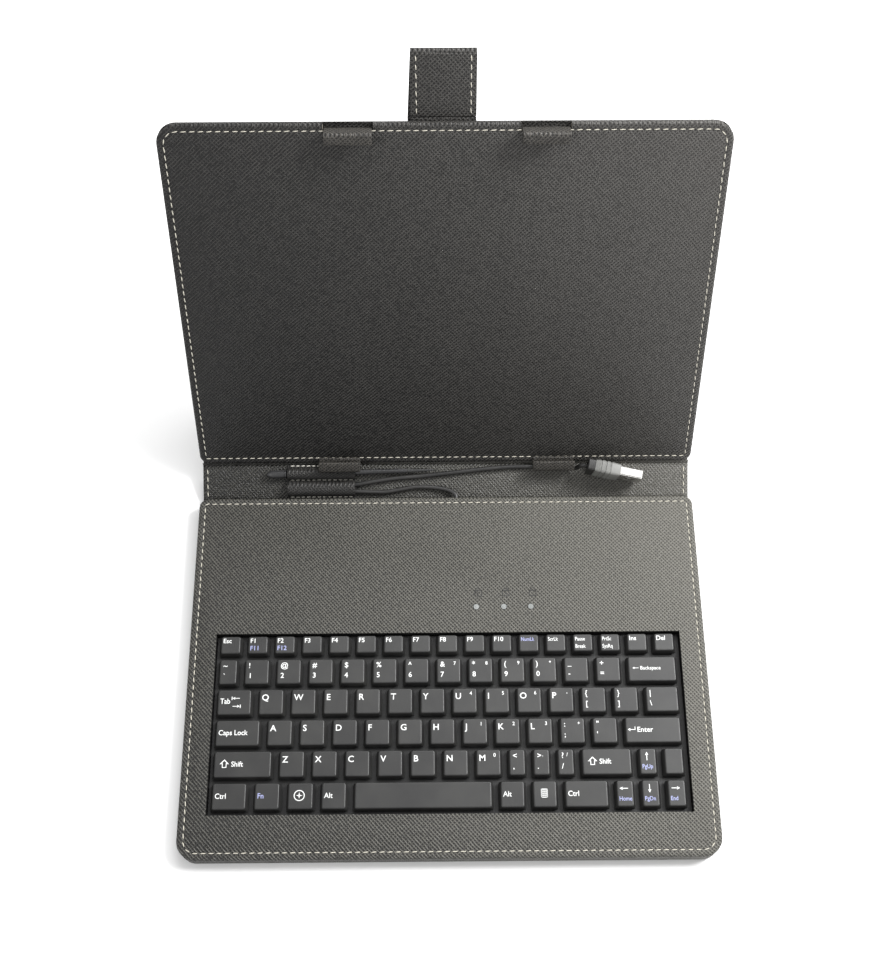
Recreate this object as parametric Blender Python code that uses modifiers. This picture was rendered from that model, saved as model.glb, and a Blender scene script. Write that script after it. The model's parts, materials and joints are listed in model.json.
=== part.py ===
"""Tablet keyboard case: a folio of stitched leathercloth with a keyboard in its base.

Run with: blender --background --python part.py
Units are metres, +Z is up. The origin is the middle of the base's underside, X runs to the right,
Y to the back. The base lies flat, a spine strip rises from its back edge and carries the lid, which
leans on a prop leg. Lengths below are written in millimetres times MM.
"""

import math

import bmesh
import bpy
from mathutils import Matrix, Vector

MM = 0.001

# Overall sizes
WIDTH = 270 * MM
DEPTH = 195 * MM
BASE_HEIGHT = 9.5 * MM
LID_THICKNESS = 4 * MM
LEATHER = 0.8 * MM
GAP = 0.3 * MM
OUTER_CORNER = 10 * MM
INNER_CORNER = 2.5 * MM
CORNER_STEPS = 5

# Hinges: each lies this deep inside the leather's outer face
HINGE_DEPTH = 1 * MM
BASE_HINGE_Y = 99.4 * MM
LID_HINGE_Y = 118.32 * MM
LID_HINGE_Z = 10.46 * MM
LID_ANGLE = math.radians(62.56)
SPINE_LENGTH = math.hypot(LID_HINGE_Y - BASE_HINGE_Y, LID_HINGE_Z - HINGE_DEPTH)
SPINE_ANGLE = math.atan2(LID_HINGE_Z - HINGE_DEPTH, LID_HINGE_Y - BASE_HINGE_Y)
LID_START = 1.9 * MM
LID_END = LID_START + DEPTH
LID_INNER = LID_THICKNESS - HINGE_DEPTH

# Keyboard well and its layers, by height above the table
WELL_X = (-121.2 * MM, 121.9 * MM)
WELL_Y = (-75.5 * MM, 19.2 * MM)
TRAY_WALL = 1.2 * MM
PANEL_BOTTOM = BASE_HEIGHT - LEATHER
WALL_TOP = PANEL_BOTTOM - GAP
BOARD_Z = (1.1 * MM, 2.1 * MM)
TRAY_Z = (2.4 * MM, 3.0 * MM)
MEMBRANE_Z = (3.3 * MM, 3.5 * MM)
DOME_SHEET_Z = (3.75 * MM, 3.95 * MM)
DOME_TOP = 5.6 * MM
GUIDE_Z = (4.3 * MM, 4.9 * MM)
DOME_RADII = (2.6 * MM, 1.5 * MM)
GUIDE_HOLE = 6.2 * MM
STEM_SIDE = 5.4 * MM

# Key caps
CAP_BOTTOM = 6.7 * MM
CAP_TOP = 10.1 * MM
CAP_ROOF = 0.9 * MM
CAP_WALL = 0.9 * MM
CAP_SIDE_SLOPE = 1.2 * MM
CAP_BACK_SLOPE = 0.4 * MM
CAP_FRONT_SLOPE = 0.8 * MM
RAIL_HALF_DEPTH = 0.5 * MM
RAIL_Z = (7.4 * MM, 8.0 * MM)
ROW_START = -119.2 * MM
ROW_WIDTH = 238.4 * MM
ROW_PITCH = 16.15 * MM
TOP_ROW_Y = 12.75 * MM
TOP_ROW_DEPTH = 10.3 * MM
FIRST_ROW_Y = -1.8 * MM
ROW_DEPTH = 14.1 * MM
LETTER = 14.2

# Each row: cap widths in millimetres, left to right, with the node that each run of caps belongs to
KEY_ROWS = (
    (("key_escape", [12.0]), ("keys_function", [12.0] * 10), ("keys_lock_and_edit", [12.0] * 6)),
    (("keys_numbers", [10.8] + [LETTER] * 12), ("key_backspace", [26.6])),
    (("key_tab", [18.9]), ("keys_upper_letters", [LETTER] * 12 + [18.4])),
    (("key_caps_lock", [23.9]), ("keys_home_letters", [LETTER] * 11), ("key_enter", [30.0])),
    (
        ("key_shift_left", [30.6]),
        ("keys_lower_letters", [14.13] * 7 + [9.9] * 3),
        ("key_shift_right", [26.6]),
        ("key_arrow_up", [10.2]),
        ("key_blank", [11.2]),
    ),
    (
        ("key_control_left", [18.7]),
        ("key_function_shift", [14.15]),
        ("keys_system_and_alt", [14.3, 14.0]),
        ("key_space", [70.4]),
        ("keys_modifiers_right", [13.8, 13.6, 23.2]),
        ("keys_arrows", [10.3, 10.4, 10.7]),
    ),
)

# Indicator lenses
LENS_X = (15.4 * MM, 30.0 * MM, 44.3 * MM)
LENS_Y = 33.4 * MM
LENS_RADIUS = 1.5 * MM
LENS_TOP = BASE_HEIGHT + 0.15 * MM
CONTROLLER_Z = (4.0 * MM, 5.2 * MM)
LIGHT_GUIDE_Z = (5.7 * MM, 6.4 * MM)

# Cable and its plug
CABLE_DIAMETER = 2.5 * MM
CABLE_EXIT_X = 5.5 * MM
CABLE_EXIT_Z = 6.0 * MM
CABLE_STEPS = 3
PLUG_PLACE = (86.0 * MM, 16.6 * MM, 10.9 * MM)
PLUG_YAW = math.radians(-11.9)
PLUG_LEAN = math.radians(-13)
PLUG_BODY = (17.5 * MM, 7.4 * MM, 14.4 * MM)
PLUG_SHELL = (11.8 * MM, 4.5 * MM, 12.0 * MM)
PLUG_SHELL_WALL = 0.4 * MM

# Spine strip, in the spine's own frame: s along it from the base hinge, t out from its outer face
SPINE_S = (0.6 * MM, SPINE_LENGTH - 0.85 * MM)
SPINE_THICKNESS = 2.6 * MM
SPINE_HALF_WIDTH = 134 * MM
STIFFENER_HALF_WIDTH = 125 * MM
LOOP_X = (-87.2 * MM, -50.0 * MM)
LOOP_EDGES = (1.6 * MM, 20.0 * MM)
LOOP_LEATHER = 0.7 * MM
STYLUS_LOOP = (15.2 * MM, 2.8 * MM, 4.4 * MM)
CABLE_LOOP = (7.0 * MM, 3.9 * MM, 4.2 * MM)

# Stylus, along its own axis from the cap's end
STYLUS_START = (-98.7 * MM, 14.8 * MM, 5.25 * MM)
STYLUS_TURN = math.radians(1.25)
STYLUS_LENGTH = 92.4 * MM
STYLUS_CAP = (11.1 * MM, 2.3 * MM)
STYLUS_BARREL_END = 77.5 * MM

# Hooks, in the lid's own frame: u up the lid from its hinge, n out from the hinge line
HOOK_WIDTH = 22.4 * MM
HOOK_WALL = 1.6 * MM
TOP_HOOK_X = (-45.3 * MM, 46.9 * MM)
TOP_HOOK_HEIGHT = 6.3 * MM
TOP_HOOK_LIP = 5.8 * MM
TOP_HOOK_TRAVEL = 8 * MM
BOTTOM_HOOK_X = (-58.2 * MM, 59.0 * MM)
BOTTOM_HOOK_HEIGHT = 8.8 * MM
BOTTOM_HOOK_LIP = 6.8 * MM
HOOK_FOOT_START = 176 * MM
ELASTIC_START = 141 * MM

# Closing strap, in the lid's frame
STRAP_WIDTH = 30.5 * MM
STRAP_X = -0.75 * MM
STRAP_THICKNESS = 1.6 * MM
STRAP_BEND = LID_END + 1.15 * MM
STRAP_FOLD = LID_END + 31.3 * MM
STRAP_END_LENGTH = 44 * MM
STRAP_SKEW = math.radians(3)
MAGNET_RADIUS = 7 * MM
MAGNET_DEPTH = 0.8 * MM

# Prop leg, hinged on the lid's back
LEG_HINGE_U = 112 * MM
LEG_LENGTH = 110 * MM
LEG_THICKNESS = 3 * MM
LEG_WIDTHS = (96 * MM, 124 * MM)

LEATHER_COLOUR = (0.035, 0.033, 0.031)
BOARD_COLOUR = (0.33, 0.30, 0.26)
FOAM_COLOUR = (0.05, 0.05, 0.05)
PLASTIC_COLOUR = (0.018, 0.018, 0.019)
CAP_COLOUR = (0.035, 0.035, 0.037)
STEEL_COLOUR = (0.65, 0.65, 0.66)


def clear_scene():
    for obj in list(bpy.data.objects):
        bpy.data.objects.remove(obj, do_unlink=True)


def new_collection(name):
    collection = bpy.data.collections.new(name)
    bpy.context.scene.collection.children.link(collection)
    return collection


def material(name, colour, roughness=0.6, metallic=0.0):
    mat = bpy.data.materials.get(name)
    if mat is None:
        mat = bpy.data.materials.new(name)
        mat.use_nodes = True
        shader = mat.node_tree.nodes["Principled BSDF"]
        shader.inputs["Base Color"].default_value = (*colour, 1)
        shader.inputs["Roughness"].default_value = roughness
        shader.inputs["Metallic"].default_value = metallic
    return mat


def leather():
    return material("leather", LEATHER_COLOUR, 0.62)


def place(obj, parent=None, mat=None, cutter=False):
    """Files an object under the parts or the cutters, with its parent and its material."""
    (cutters if cutter else parts).objects.link(obj)
    obj.parent = parent
    if mat is not None:
        obj.data.materials.append(mat)
    if cutter:
        obj.hide_render = True
        obj.display_type = "WIRE"
    return obj


def from_bmesh(name, bm, parent=None, mat=None, cutter=False):
    """A named object from a bmesh, its faces turned outwards."""
    bmesh.ops.recalc_face_normals(bm, faces=bm.faces)
    mesh = bpy.data.meshes.new(name)
    bm.to_mesh(mesh)
    bm.free()
    return place(bpy.data.objects.new(name, mesh), parent, mat, cutter)


def add_box(bm, x, y, z):
    """Adds a box given by its (low, high) range on each axis."""
    verts = bmesh.ops.create_cube(bm, size=1.0)["verts"]
    for v in verts:
        v.co = Vector((x[v.co.x > 0], y[v.co.y > 0], z[v.co.z > 0]))
    return verts


def box(name, x, y, z, parent=None, mat=None, cutter=False):
    bm = bmesh.new()
    add_box(bm, x, y, z)
    return from_bmesh(name, bm, parent, mat, cutter)


def round_corners(bm, radius, near):
    """Rounds the upright edges whose Y is on the near (-1), far (1) or either (0) side of the middle."""
    ys = [v.co.y for v in bm.verts]
    middle = (min(ys) + max(ys)) / 2
    edges = []
    for edge in bm.edges:
        a, b = (v.co for v in edge.verts)
        upright = abs(a.x - b.x) < 1e-7 and abs(a.y - b.y) < 1e-7
        if upright and (near == 0 or (a.y - middle) * near > 0):
            edges.append(edge)
    bmesh.ops.bevel(bm, geom=edges, offset=radius, segments=CORNER_STEPS, profile=0.5, affect="EDGES")


def panel_bmesh(x, y, z, rounded_side, inset=0.0):
    """A flat panel with two large corners on one side and two small ones by the spine."""
    bm = bmesh.new()
    add_box(bm, (x[0] + inset, x[1] - inset), (y[0] + inset, y[1] - inset), z)
    round_corners(bm, OUTER_CORNER - inset, rounded_side)
    small = [e for e in bm.edges if is_sharp_upright(e, rounded_side, y)]
    bmesh.ops.bevel(
        bm, geom=small, offset=max(INNER_CORNER - inset, 0.3 * MM), segments=2, profile=0.5, affect="EDGES"
    )
    return bm


def is_sharp_upright(edge, rounded_side, y):
    a, b = (v.co for v in edge.verts)
    upright = abs(a.x - b.x) < 1e-7 and abs(a.y - b.y) < 1e-7
    return upright and (a.y - sum(y) / 2) * rounded_side < 0


def solidify(obj, thickness, offset):
    mod = obj.modifiers.new("thickness", "SOLIDIFY")
    mod.thickness = thickness
    mod.offset = offset
    mod.use_even_offset = True
    mod.use_quality_normals = True
    return obj


def boolean(obj, other, operation="DIFFERENCE"):
    mod = obj.modifiers.new(other.name, "BOOLEAN")
    mod.operation = operation
    mod.solver = "EXACT"
    mod.object = other
    return obj


def open_tray(name, x, y, z, rounded_side, parent=None, top_open=True):
    """A leather cover: a panel's outside with its inner side left open, given its thickness."""
    bm = panel_bmesh(x, y, z, rounded_side)
    open_z = z[1] if top_open else z[0]
    lid_faces = [f for f in bm.faces if all(abs(v.co.z - open_z) < 1e-7 for v in f.verts)]
    bmesh.ops.recalc_face_normals(bm, faces=bm.faces)
    bmesh.ops.delete(bm, geom=lid_faces, context="FACES")
    mesh = bpy.data.meshes.new(name)
    bm.to_mesh(mesh)
    bm.free()
    obj = place(bpy.data.objects.new(name, mesh), parent, leather())
    return solidify(obj, LEATHER, -1)


def turned(name, profile, segments, parent, mat, place_at=(0, 0, 0), turn=(0, 0, 0), cutter=False):
    """A solid of revolution about its own X axis: profile is (distance along X, radius) pairs."""
    bm = bmesh.new()
    rings = []
    for along, radius in profile:
        ring = bmesh.ops.create_circle(bm, radius=radius, segments=segments)["verts"]
        for v in ring:
            v.co = Vector((along, v.co.x, v.co.y))
        rings.append(ring)
    for near, far in zip(rings, rings[1:]):
        edges = [e for e in bm.edges if all(v in near for v in e.verts) or all(v in far for v in e.verts)]
        bmesh.ops.bridge_loops(bm, edges=edges)
    bmesh.ops.contextual_create(bm, geom=rings[0])
    bmesh.ops.contextual_create(bm, geom=rings[-1])
    obj = from_bmesh(name, bm, parent, mat, cutter)
    obj.location = place_at
    obj.rotation_euler = turn
    return obj


def pivot(name, location, angle):
    """An empty on a hinge line, turned about X."""
    empty = bpy.data.objects.new(name, None)
    parts.objects.link(empty)
    empty.location = location
    empty.rotation_euler = (angle, 0, 0)
    return empty


def spine_point(x, s, t):
    """World place of a point given in the spine's frame."""
    out = t - HINGE_DEPTH
    y = BASE_HINGE_Y + s * math.cos(SPINE_ANGLE) - out * math.sin(SPINE_ANGLE)
    z = HINGE_DEPTH + s * math.sin(SPINE_ANGLE) + out * math.cos(SPINE_ANGLE)
    return Vector((x, y, z))


# Base


def key_places():
    """Yields each cap as (node, centre x, centre y, width, depth)."""
    for row, runs in enumerate(KEY_ROWS):
        widths = [w * MM for _, run in runs for w in run]
        names = [node for node, run in runs for _ in run]
        gap = (ROW_WIDTH - sum(widths)) / (len(widths) - 1)
        y = TOP_ROW_Y if row == 0 else FIRST_ROW_Y - (row - 1) * ROW_PITCH
        depth = TOP_ROW_DEPTH if row == 0 else ROW_DEPTH
        x = ROW_START
        for node, width in zip(names, widths):
            yield node, x + width / 2, y, width, depth
            x += width + gap


def set_rectangle(face, centre, half, z):
    """Moves a four-sided face's corners to a rectangle at height z."""
    for v in face.verts:
        v.co = Vector(
            (
                centre[0] + math.copysign(half[0], v.co.x - centre[0]),
                centre[1] + math.copysign(half[1], v.co.y - centre[1]),
                z,
            )
        )


def add_keycap(bm, x, y, width, depth):
    """One hollow cap with sloping sides and a square stem under its roof."""
    half = (width / 2, depth / 2)
    verts = add_box(bm, (x - half[0], x + half[0]), (y - half[1], y + half[1]), (CAP_BOTTOM, CAP_TOP))
    for v in verts:
        if v.co.z > CAP_BOTTOM + GAP:
            v.co.x -= math.copysign(CAP_SIDE_SLOPE, v.co.x - x)
            v.co.y += CAP_FRONT_SLOPE if v.co.y < y else -CAP_BACK_SLOPE
    faces = {face for v in verts for face in v.link_faces}
    under = min(faces, key=lambda face: face.calc_center_median().z)
    steps = (
        ((half[0] - CAP_WALL, half[1] - CAP_WALL), CAP_BOTTOM, False),
        ((half[0] - CAP_WALL - CAP_SIDE_SLOPE, half[1] - CAP_WALL - CAP_FRONT_SLOPE), CAP_TOP - CAP_ROOF, True),
        ((STEM_SIDE / 2, STEM_SIDE / 2), CAP_TOP - CAP_ROOF, False),
        ((STEM_SIDE / 2, STEM_SIDE / 2), DOME_TOP + GAP, True),
    )
    for size, height, push in steps:
        if push:
            under = bmesh.ops.extrude_discrete_faces(bm, faces=[under])["faces"][0]
        else:
            bmesh.ops.inset_individual(bm, faces=[under], thickness=0.1 * MM)
        set_rectangle(under, (x, y), size, height)


def build_keys():
    """Caps of one node stand in a rank and are joined by a thin rail below their tops."""
    groups = {}
    for node, *cap in key_places():
        groups.setdefault(node, []).append(cap)
    for node, caps in groups.items():
        bm = bmesh.new()
        for x, y, width, depth in caps:
            add_keycap(bm, x, y, width, depth)
        rank = from_bmesh(node, bm, None, material("key_cap", CAP_COLOUR, 0.45))
        if len(caps) > 1:
            y = caps[0][1]
            sides = (y - RAIL_HALF_DEPTH, y + RAIL_HALF_DEPTH)
            boolean(rank, box(f"{node}_rail", (caps[0][0], caps[-1][0]), sides, RAIL_Z, cutter=True), "UNION")


def at_each_key(name, add):
    """A cutter or joined shape with one solid under every cap."""
    bm = bmesh.new()
    for _, x, y, _, _ in key_places():
        add(bm, x, y)
    return from_bmesh(name, bm, cutter=True)


def add_dome(bm, x, y):
    low = DOME_SHEET_Z[1] - 0.1 * MM
    cone = bmesh.ops.create_cone(
        bm, cap_ends=True, segments=8, radius1=DOME_RADII[0], radius2=DOME_RADII[1], depth=DOME_TOP - low
    )
    for v in cone["verts"]:
        v.co += Vector((x, y, (DOME_TOP + low) / 2))


def add_guide_hole(bm, x, y):
    half = GUIDE_HOLE / 2
    add_box(bm, (x - half, x + half), (y - half, y + half), (GUIDE_Z[0] - 1 * MM, GUIDE_Z[1] + 1 * MM))


def inside_well(margin):
    return (
        (WELL_X[0] + margin, WELL_X[1] - margin),
        (WELL_Y[0] + margin, WELL_Y[1] - margin),
    )


def build_keyboard_module():
    black = material("black_plastic", PLASTIC_COLOUR, 0.5)
    outer = inside_well(-TRAY_WALL)
    tray = box("keyboard_tray", *outer, (TRAY_Z[0], WALL_TOP), None, black)
    boolean(tray, box("tray_hollow", *inside_well(0), (TRAY_Z[1], 20 * MM), cutter=True))
    box("membrane_sheet", *inside_well(0.5 * MM), MEMBRANE_Z, None, material("film", (0.2, 0.24, 0.22), 0.3))
    domes = box("dome_sheet", *inside_well(0.5 * MM), DOME_SHEET_Z, None, material("silicone", (0.5, 0.5, 0.5)))
    boolean(domes, at_each_key("domes", add_dome), "UNION")
    guide = box("key_guide_frame", *inside_well(0.4 * MM), GUIDE_Z, None, black)
    boolean(guide, at_each_key("guide_holes", add_guide_hole))


def build_indicators():
    """The controller board with its chips, and the light guide whose three posts show in the liner."""
    x = (LENS_X[0] - 8 * MM, LENS_X[2] + 8 * MM)
    y = (LENS_Y - 6 * MM, LENS_Y + 16 * MM)
    green = material("circuit_board", (0.02, 0.12, 0.06), 0.4)
    board = box("controller_board", x, y, CONTROLLER_Z, None, green)
    bm = bmesh.new()
    chip_bottom = CONTROLLER_Z[1] - 0.3 * MM
    add_box(bm, (22 * MM, 32 * MM), (LENS_Y + 4 * MM, LENS_Y + 13 * MM), (chip_bottom, 6.5 * MM))
    add_box(bm, (38 * MM, 44 * MM), (LENS_Y + 5 * MM, LENS_Y + 10 * MM), (chip_bottom, 6.2 * MM))
    boolean(board, from_bmesh("chips", bm, cutter=True), "UNION")
    guide = box(
        "indicator_light_guide", (LENS_X[0] - 1 * MM, LENS_X[2] + 1 * MM), (LENS_Y - 0.8 * MM, LENS_Y + 0.8 * MM),
        LIGHT_GUIDE_Z, None, material("lens", (0.82, 0.83, 0.80), 0.25),
    )
    bm = bmesh.new()
    for lens_x in LENS_X:
        add_upright_cylinder(bm, lens_x, LENS_Y, LENS_RADIUS, (LIGHT_GUIDE_Z[0] - 0.1 * MM, LENS_TOP), 16)
    boolean(guide, from_bmesh("lens_posts", bm, cutter=True), "UNION")
    return box(
        "board_pocket", (x[0] - 1 * MM, x[1] + 1 * MM), (y[0] - 1 * MM, y[1] + 1 * MM), (2.2 * MM, 20 * MM),
        cutter=True,
    )


def add_upright_cylinder(bm, x, y, radius, z, segments):
    cone = bmesh.ops.create_cone(
        bm, cap_ends=True, segments=segments, radius1=radius, radius2=radius, depth=z[1] - z[0]
    )
    for v in cone["verts"]:
        v.co += Vector((x, y, sum(z) / 2))


def build_base():
    x = (-WIDTH / 2, WIDTH / 2)
    y = (-DEPTH / 2, DEPTH / 2)
    cover = open_tray("base_outer_cover", x, y, (0, WALL_TOP), -1)
    exit_cutter = turned(
        "cable_exit", [(-9 * MM, 2.6 * MM), (9 * MM, 2.6 * MM)], 16, None, None,
        (CABLE_EXIT_X, DEPTH / 2, CABLE_EXIT_Z), (0, 0, math.pi / 2), True,
    )
    boolean(cover, exit_cutter)

    inset = LEATHER + GAP
    board = from_bmesh(
        "base_board", panel_bmesh(x, y, BOARD_Z, -1, inset), None, material("greyboard", BOARD_COLOUR, 0.9)
    )
    plate_x = (-10 * MM, 10 * MM)
    plate_y = (-57 * MM, -45 * MM)
    boolean(board, box(
        "plate_pocket", (plate_x[0] - GAP, plate_x[1] + GAP), (plate_y[0] - GAP, plate_y[1] + GAP),
        (0, 5 * MM), cutter=True,
    ))
    box("closure_plate", plate_x, plate_y, BOARD_Z, None, material("steel", STEEL_COLOUR, 0.35, 1.0))

    foam = from_bmesh(
        "base_spacer_frame", panel_bmesh(x, y, (TRAY_Z[0], WALL_TOP), -1, inset), None,
        material("foam", FOAM_COLOUR, 0.95),
    )
    boolean(foam, box("module_pocket", *inside_well(-TRAY_WALL - GAP), (1 * MM, 20 * MM), cutter=True))
    board_pocket = build_indicators()
    boolean(foam, board_pocket)
    boolean(foam, box(
        "cable_channel", (CABLE_EXIT_X - 3 * MM, CABLE_EXIT_X + 3 * MM), (LENS_Y + 10 * MM, 110 * MM),
        (2.2 * MM, 20 * MM), cutter=True,
    ))

    liner = from_bmesh("base_liner_panel", panel_bmesh(x, y, (PANEL_BOTTOM, BASE_HEIGHT), -1), None, leather())
    boolean(liner, box("well_window", *inside_well(0), (5 * MM, 20 * MM), cutter=True))
    bm = bmesh.new()
    for lens_x in LENS_X:
        add_upright_cylinder(bm, lens_x, LENS_Y, LENS_RADIUS + GAP, (8 * MM, 11 * MM), 16)
    boolean(liner, from_bmesh("lens_holes", bm, cutter=True))

    turned(
        "cable_strain_relief", [(0, 2.3 * MM), (1.2 * MM, 2.3 * MM), (1.2 * MM, 1.9 * MM), (4 * MM, 1.9 * MM)], 16,
        None, material("cable_rubber", (0.02, 0.02, 0.02), 0.55),
        (CABLE_EXIT_X, DEPTH / 2 - 4.1 * MM, CABLE_EXIT_Z), (0, 0, math.pi / 2),
    )


# Spine


def spine_panel(name, half_width, s, t, mat):
    return box(
        name, (-half_width, half_width), s, (t[0] - HINGE_DEPTH, t[1] - HINGE_DEPTH), spine_pivot, mat
    )


def bent_sheet(name, x, points, thickness, parent, mat, offset=0.0):
    """A sheet that runs along X, bent through (y, z) points, given its thickness."""
    bm = bmesh.new()
    rows = [[bm.verts.new((side, y, z)) for side in x] for y, z in points]
    edges = [bm.edges.new(row) for row in rows]
    bmesh.ops.bridge_loops(bm, edges=edges[:2])
    for near, far in zip(edges[1:], edges[2:]):
        bmesh.ops.bridge_loops(bm, edges=[near, far])
    obj = from_bmesh(name, bm, parent, mat)
    return solidify(obj, thickness, offset)


def loop_profile():
    """The loop patch's inner line across the spine, with an arch over the cable and one over the stylus."""
    floor = SPINE_THICKNESS + GAP - HINGE_DEPTH
    points = [(LOOP_EDGES[0], floor)]
    for middle, half, height in (CABLE_LOOP, STYLUS_LOOP):
        for step in range(9):
            angle = math.pi * (1 - step / 8)
            points.append((middle + half * math.cos(angle), floor + height * math.sin(angle)))
    points.append((LOOP_EDGES[1], floor))
    return points


def build_spine():
    skin = leather()
    spine_panel("spine_outer_cover", SPINE_HALF_WIDTH, SPINE_S, (0, LEATHER), skin)
    spine_panel(
        "spine_stiffener", STIFFENER_HALF_WIDTH, (2 * MM, 19 * MM), (1.05 * MM, 1.55 * MM),
        material("greyboard", BOARD_COLOUR, 0.9),
    )
    spine_panel("spine_liner", SPINE_HALF_WIDTH, SPINE_S, (SPINE_THICKNESS - LEATHER, SPINE_THICKNESS), skin)
    bent_sheet("loop_patch", LOOP_X, loop_profile(), LOOP_LEATHER, spine_pivot, skin, 1.0)
    strip = LEATHER - 0.1 * MM
    across = (-SPINE_HALF_WIDTH, SPINE_HALF_WIDTH)
    start = spine_point(0, SPINE_S[0] - 0.4 * MM, LEATHER / 2)
    bent_sheet(
        "base_fold_strip", across,
        [(DEPTH / 2 + GAP, LEATHER / 2), (DEPTH / 2 + 1.4 * MM, LEATHER / 2), (start.y, start.z)],
        strip, None, skin,
    )
    end = spine_point(0, SPINE_S[1] + 0.35 * MM, LEATHER / 2)
    middle = spine_point(0, SPINE_LENGTH + 0.2 * MM, 0.55 * MM)
    lid_edge = lid_point(0, LID_START - 0.35 * MM, LEATHER / 2 - HINGE_DEPTH)
    bent_sheet(
        "lid_fold_strip", across, [(p.y, p.z) for p in (end, middle, lid_edge)], strip, None, skin
    )


def build_stylus():
    holder = bpy.data.objects.new("stylus_axis", None)
    parts.objects.link(holder)
    holder.parent = spine_pivot
    holder.location = (STYLUS_START[0], STYLUS_START[1], STYLUS_START[2] - HINGE_DEPTH)
    holder.rotation_euler = (0, 0, STYLUS_TURN)
    cap_length, cap_radius = STYLUS_CAP
    dark = material("stylus_plastic", (0.03, 0.03, 0.032), 0.35)
    turned(
        "stylus_cap",
        [(0, 0.9 * MM), (1.0 * MM, 1.7 * MM), (2.6 * MM, cap_radius), (cap_length - 0.6 * MM, cap_radius),
         (cap_length, cap_radius - 0.4 * MM)],
        16, holder, dark,
    )
    turned(
        "stylus_barrel", [(cap_length + GAP, 1.7 * MM), (STYLUS_BARREL_END, 1.25 * MM)], 16, holder, dark
    )
    turned(
        "stylus_tip",
        [(STYLUS_BARREL_END + GAP, 1.15 * MM), (STYLUS_LENGTH - 2 * MM, 0.7 * MM), (STYLUS_LENGTH, 0.35 * MM)],
        16, holder, material("stylus_tip", (0.55, 0.55, 0.53), 0.4),
    )


# Cable and plug


def cable_route():
    """The route by hand: out of the base, into the lower channel, a hairpin, back out and through the hook."""
    lift = SPINE_THICKNESS + GAP + CABLE_DIAMETER / 2
    out = Vector((CABLE_EXIT_X, DEPTH / 2 + 0.25 * MM, CABLE_EXIT_Z))
    laid = (
        (4.9, 3.4, 5.3), (2.4, 5.2, 4.6), (-2.5, 6.5, 0), (-9.0, 7.3, 0), (-17.0, 7.4, 0), (-25.0, 6.1, 0),
        (-33.0, 4.8, 0), (-41.0, 4.9, 0), (-50.0, 5.2, 0), (-62.0, 5.0, 0), (-73.0, 5.0, 0), (-80.0, 5.1, 0),
        (-82.7, 6.0, 0), (-83.3, 7.1, 0), (-82.4, 8.3, 0), (-79.5, 8.9, 0), (-70.0, 8.8, 0), (-60.0, 8.8, 0),
        (-50.0, 9.0, 0), (-40.0, 10.6, 0), (-28.0, 12.3, 0), (-14.0, 13.4, 0), (2.0, 15.0, 0), (18.0, 16.8, 0),
        (32.0, 18.0, 0), (44.0, 18.3, 0), (56.0, 18.2, 0), (65.0, 17.8, 4.3), (71.0, 17.2, 5.9),
    )
    points = [out, out + Vector((0, 1.5 * MM, 0.1 * MM))]
    for x, s, t in laid:
        points.append(spine_point(x * MM, s * MM, t * MM if t else lift))
    rear = plug_to_world((-PLUG_BODY[0] / 2 - GAP, 0, 0))
    before = plug_to_world((-PLUG_BODY[0] / 2 - 3 * MM, 0, 0))
    return points + [before, rear]


def smooth(points, steps):
    """Points on a Catmull-Rom curve through the given ones."""
    ends = [2 * points[0] - points[1]] + points + [2 * points[-1] - points[-2]]
    line = []
    for a, b, c, d in zip(ends, ends[1:], ends[2:], ends[3:]):
        for step in range(steps):
            f = step / steps
            line.append(
                0.5 * (2 * b + (c - a) * f + (2 * a - 5 * b + 4 * c - d) * f**2 + (3 * b - a - 3 * c + d) * f**3)
            )
    return line + [points[-1]]


def plug_matrix():
    """The plug stands on its narrow edge on the spine, turned and leaning back towards the lid."""
    place_at = spine_point(*PLUG_PLACE)
    turn = plug_turn()
    turn.translation = place_at
    return turn


def plug_turn():
    return (
        Matrix.Rotation(SPINE_ANGLE, 4, "X")
        @ Matrix.Rotation(PLUG_YAW, 4, "Z")
        @ Matrix.Rotation(PLUG_LEAN, 4, "X")
    )


def plug_to_world(local):
    return plug_matrix() @ Vector(local)


def build_cable():
    data = bpy.data.curves.new("usb_cable", "CURVE")
    data.dimensions = "3D"
    data.bevel_depth = CABLE_DIAMETER / 2
    data.bevel_resolution = 2
    data.use_fill_caps = True
    line = smooth(cable_route(), CABLE_STEPS)
    spline = data.splines.new("POLY")
    spline.points.add(len(line) - 1)
    for point, place_at in zip(spline.points, line):
        point.co = (*place_at, 1)
    place(bpy.data.objects.new("usb_cable", data), None, material("cable_rubber", (0.02, 0.02, 0.02), 0.55))


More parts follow.
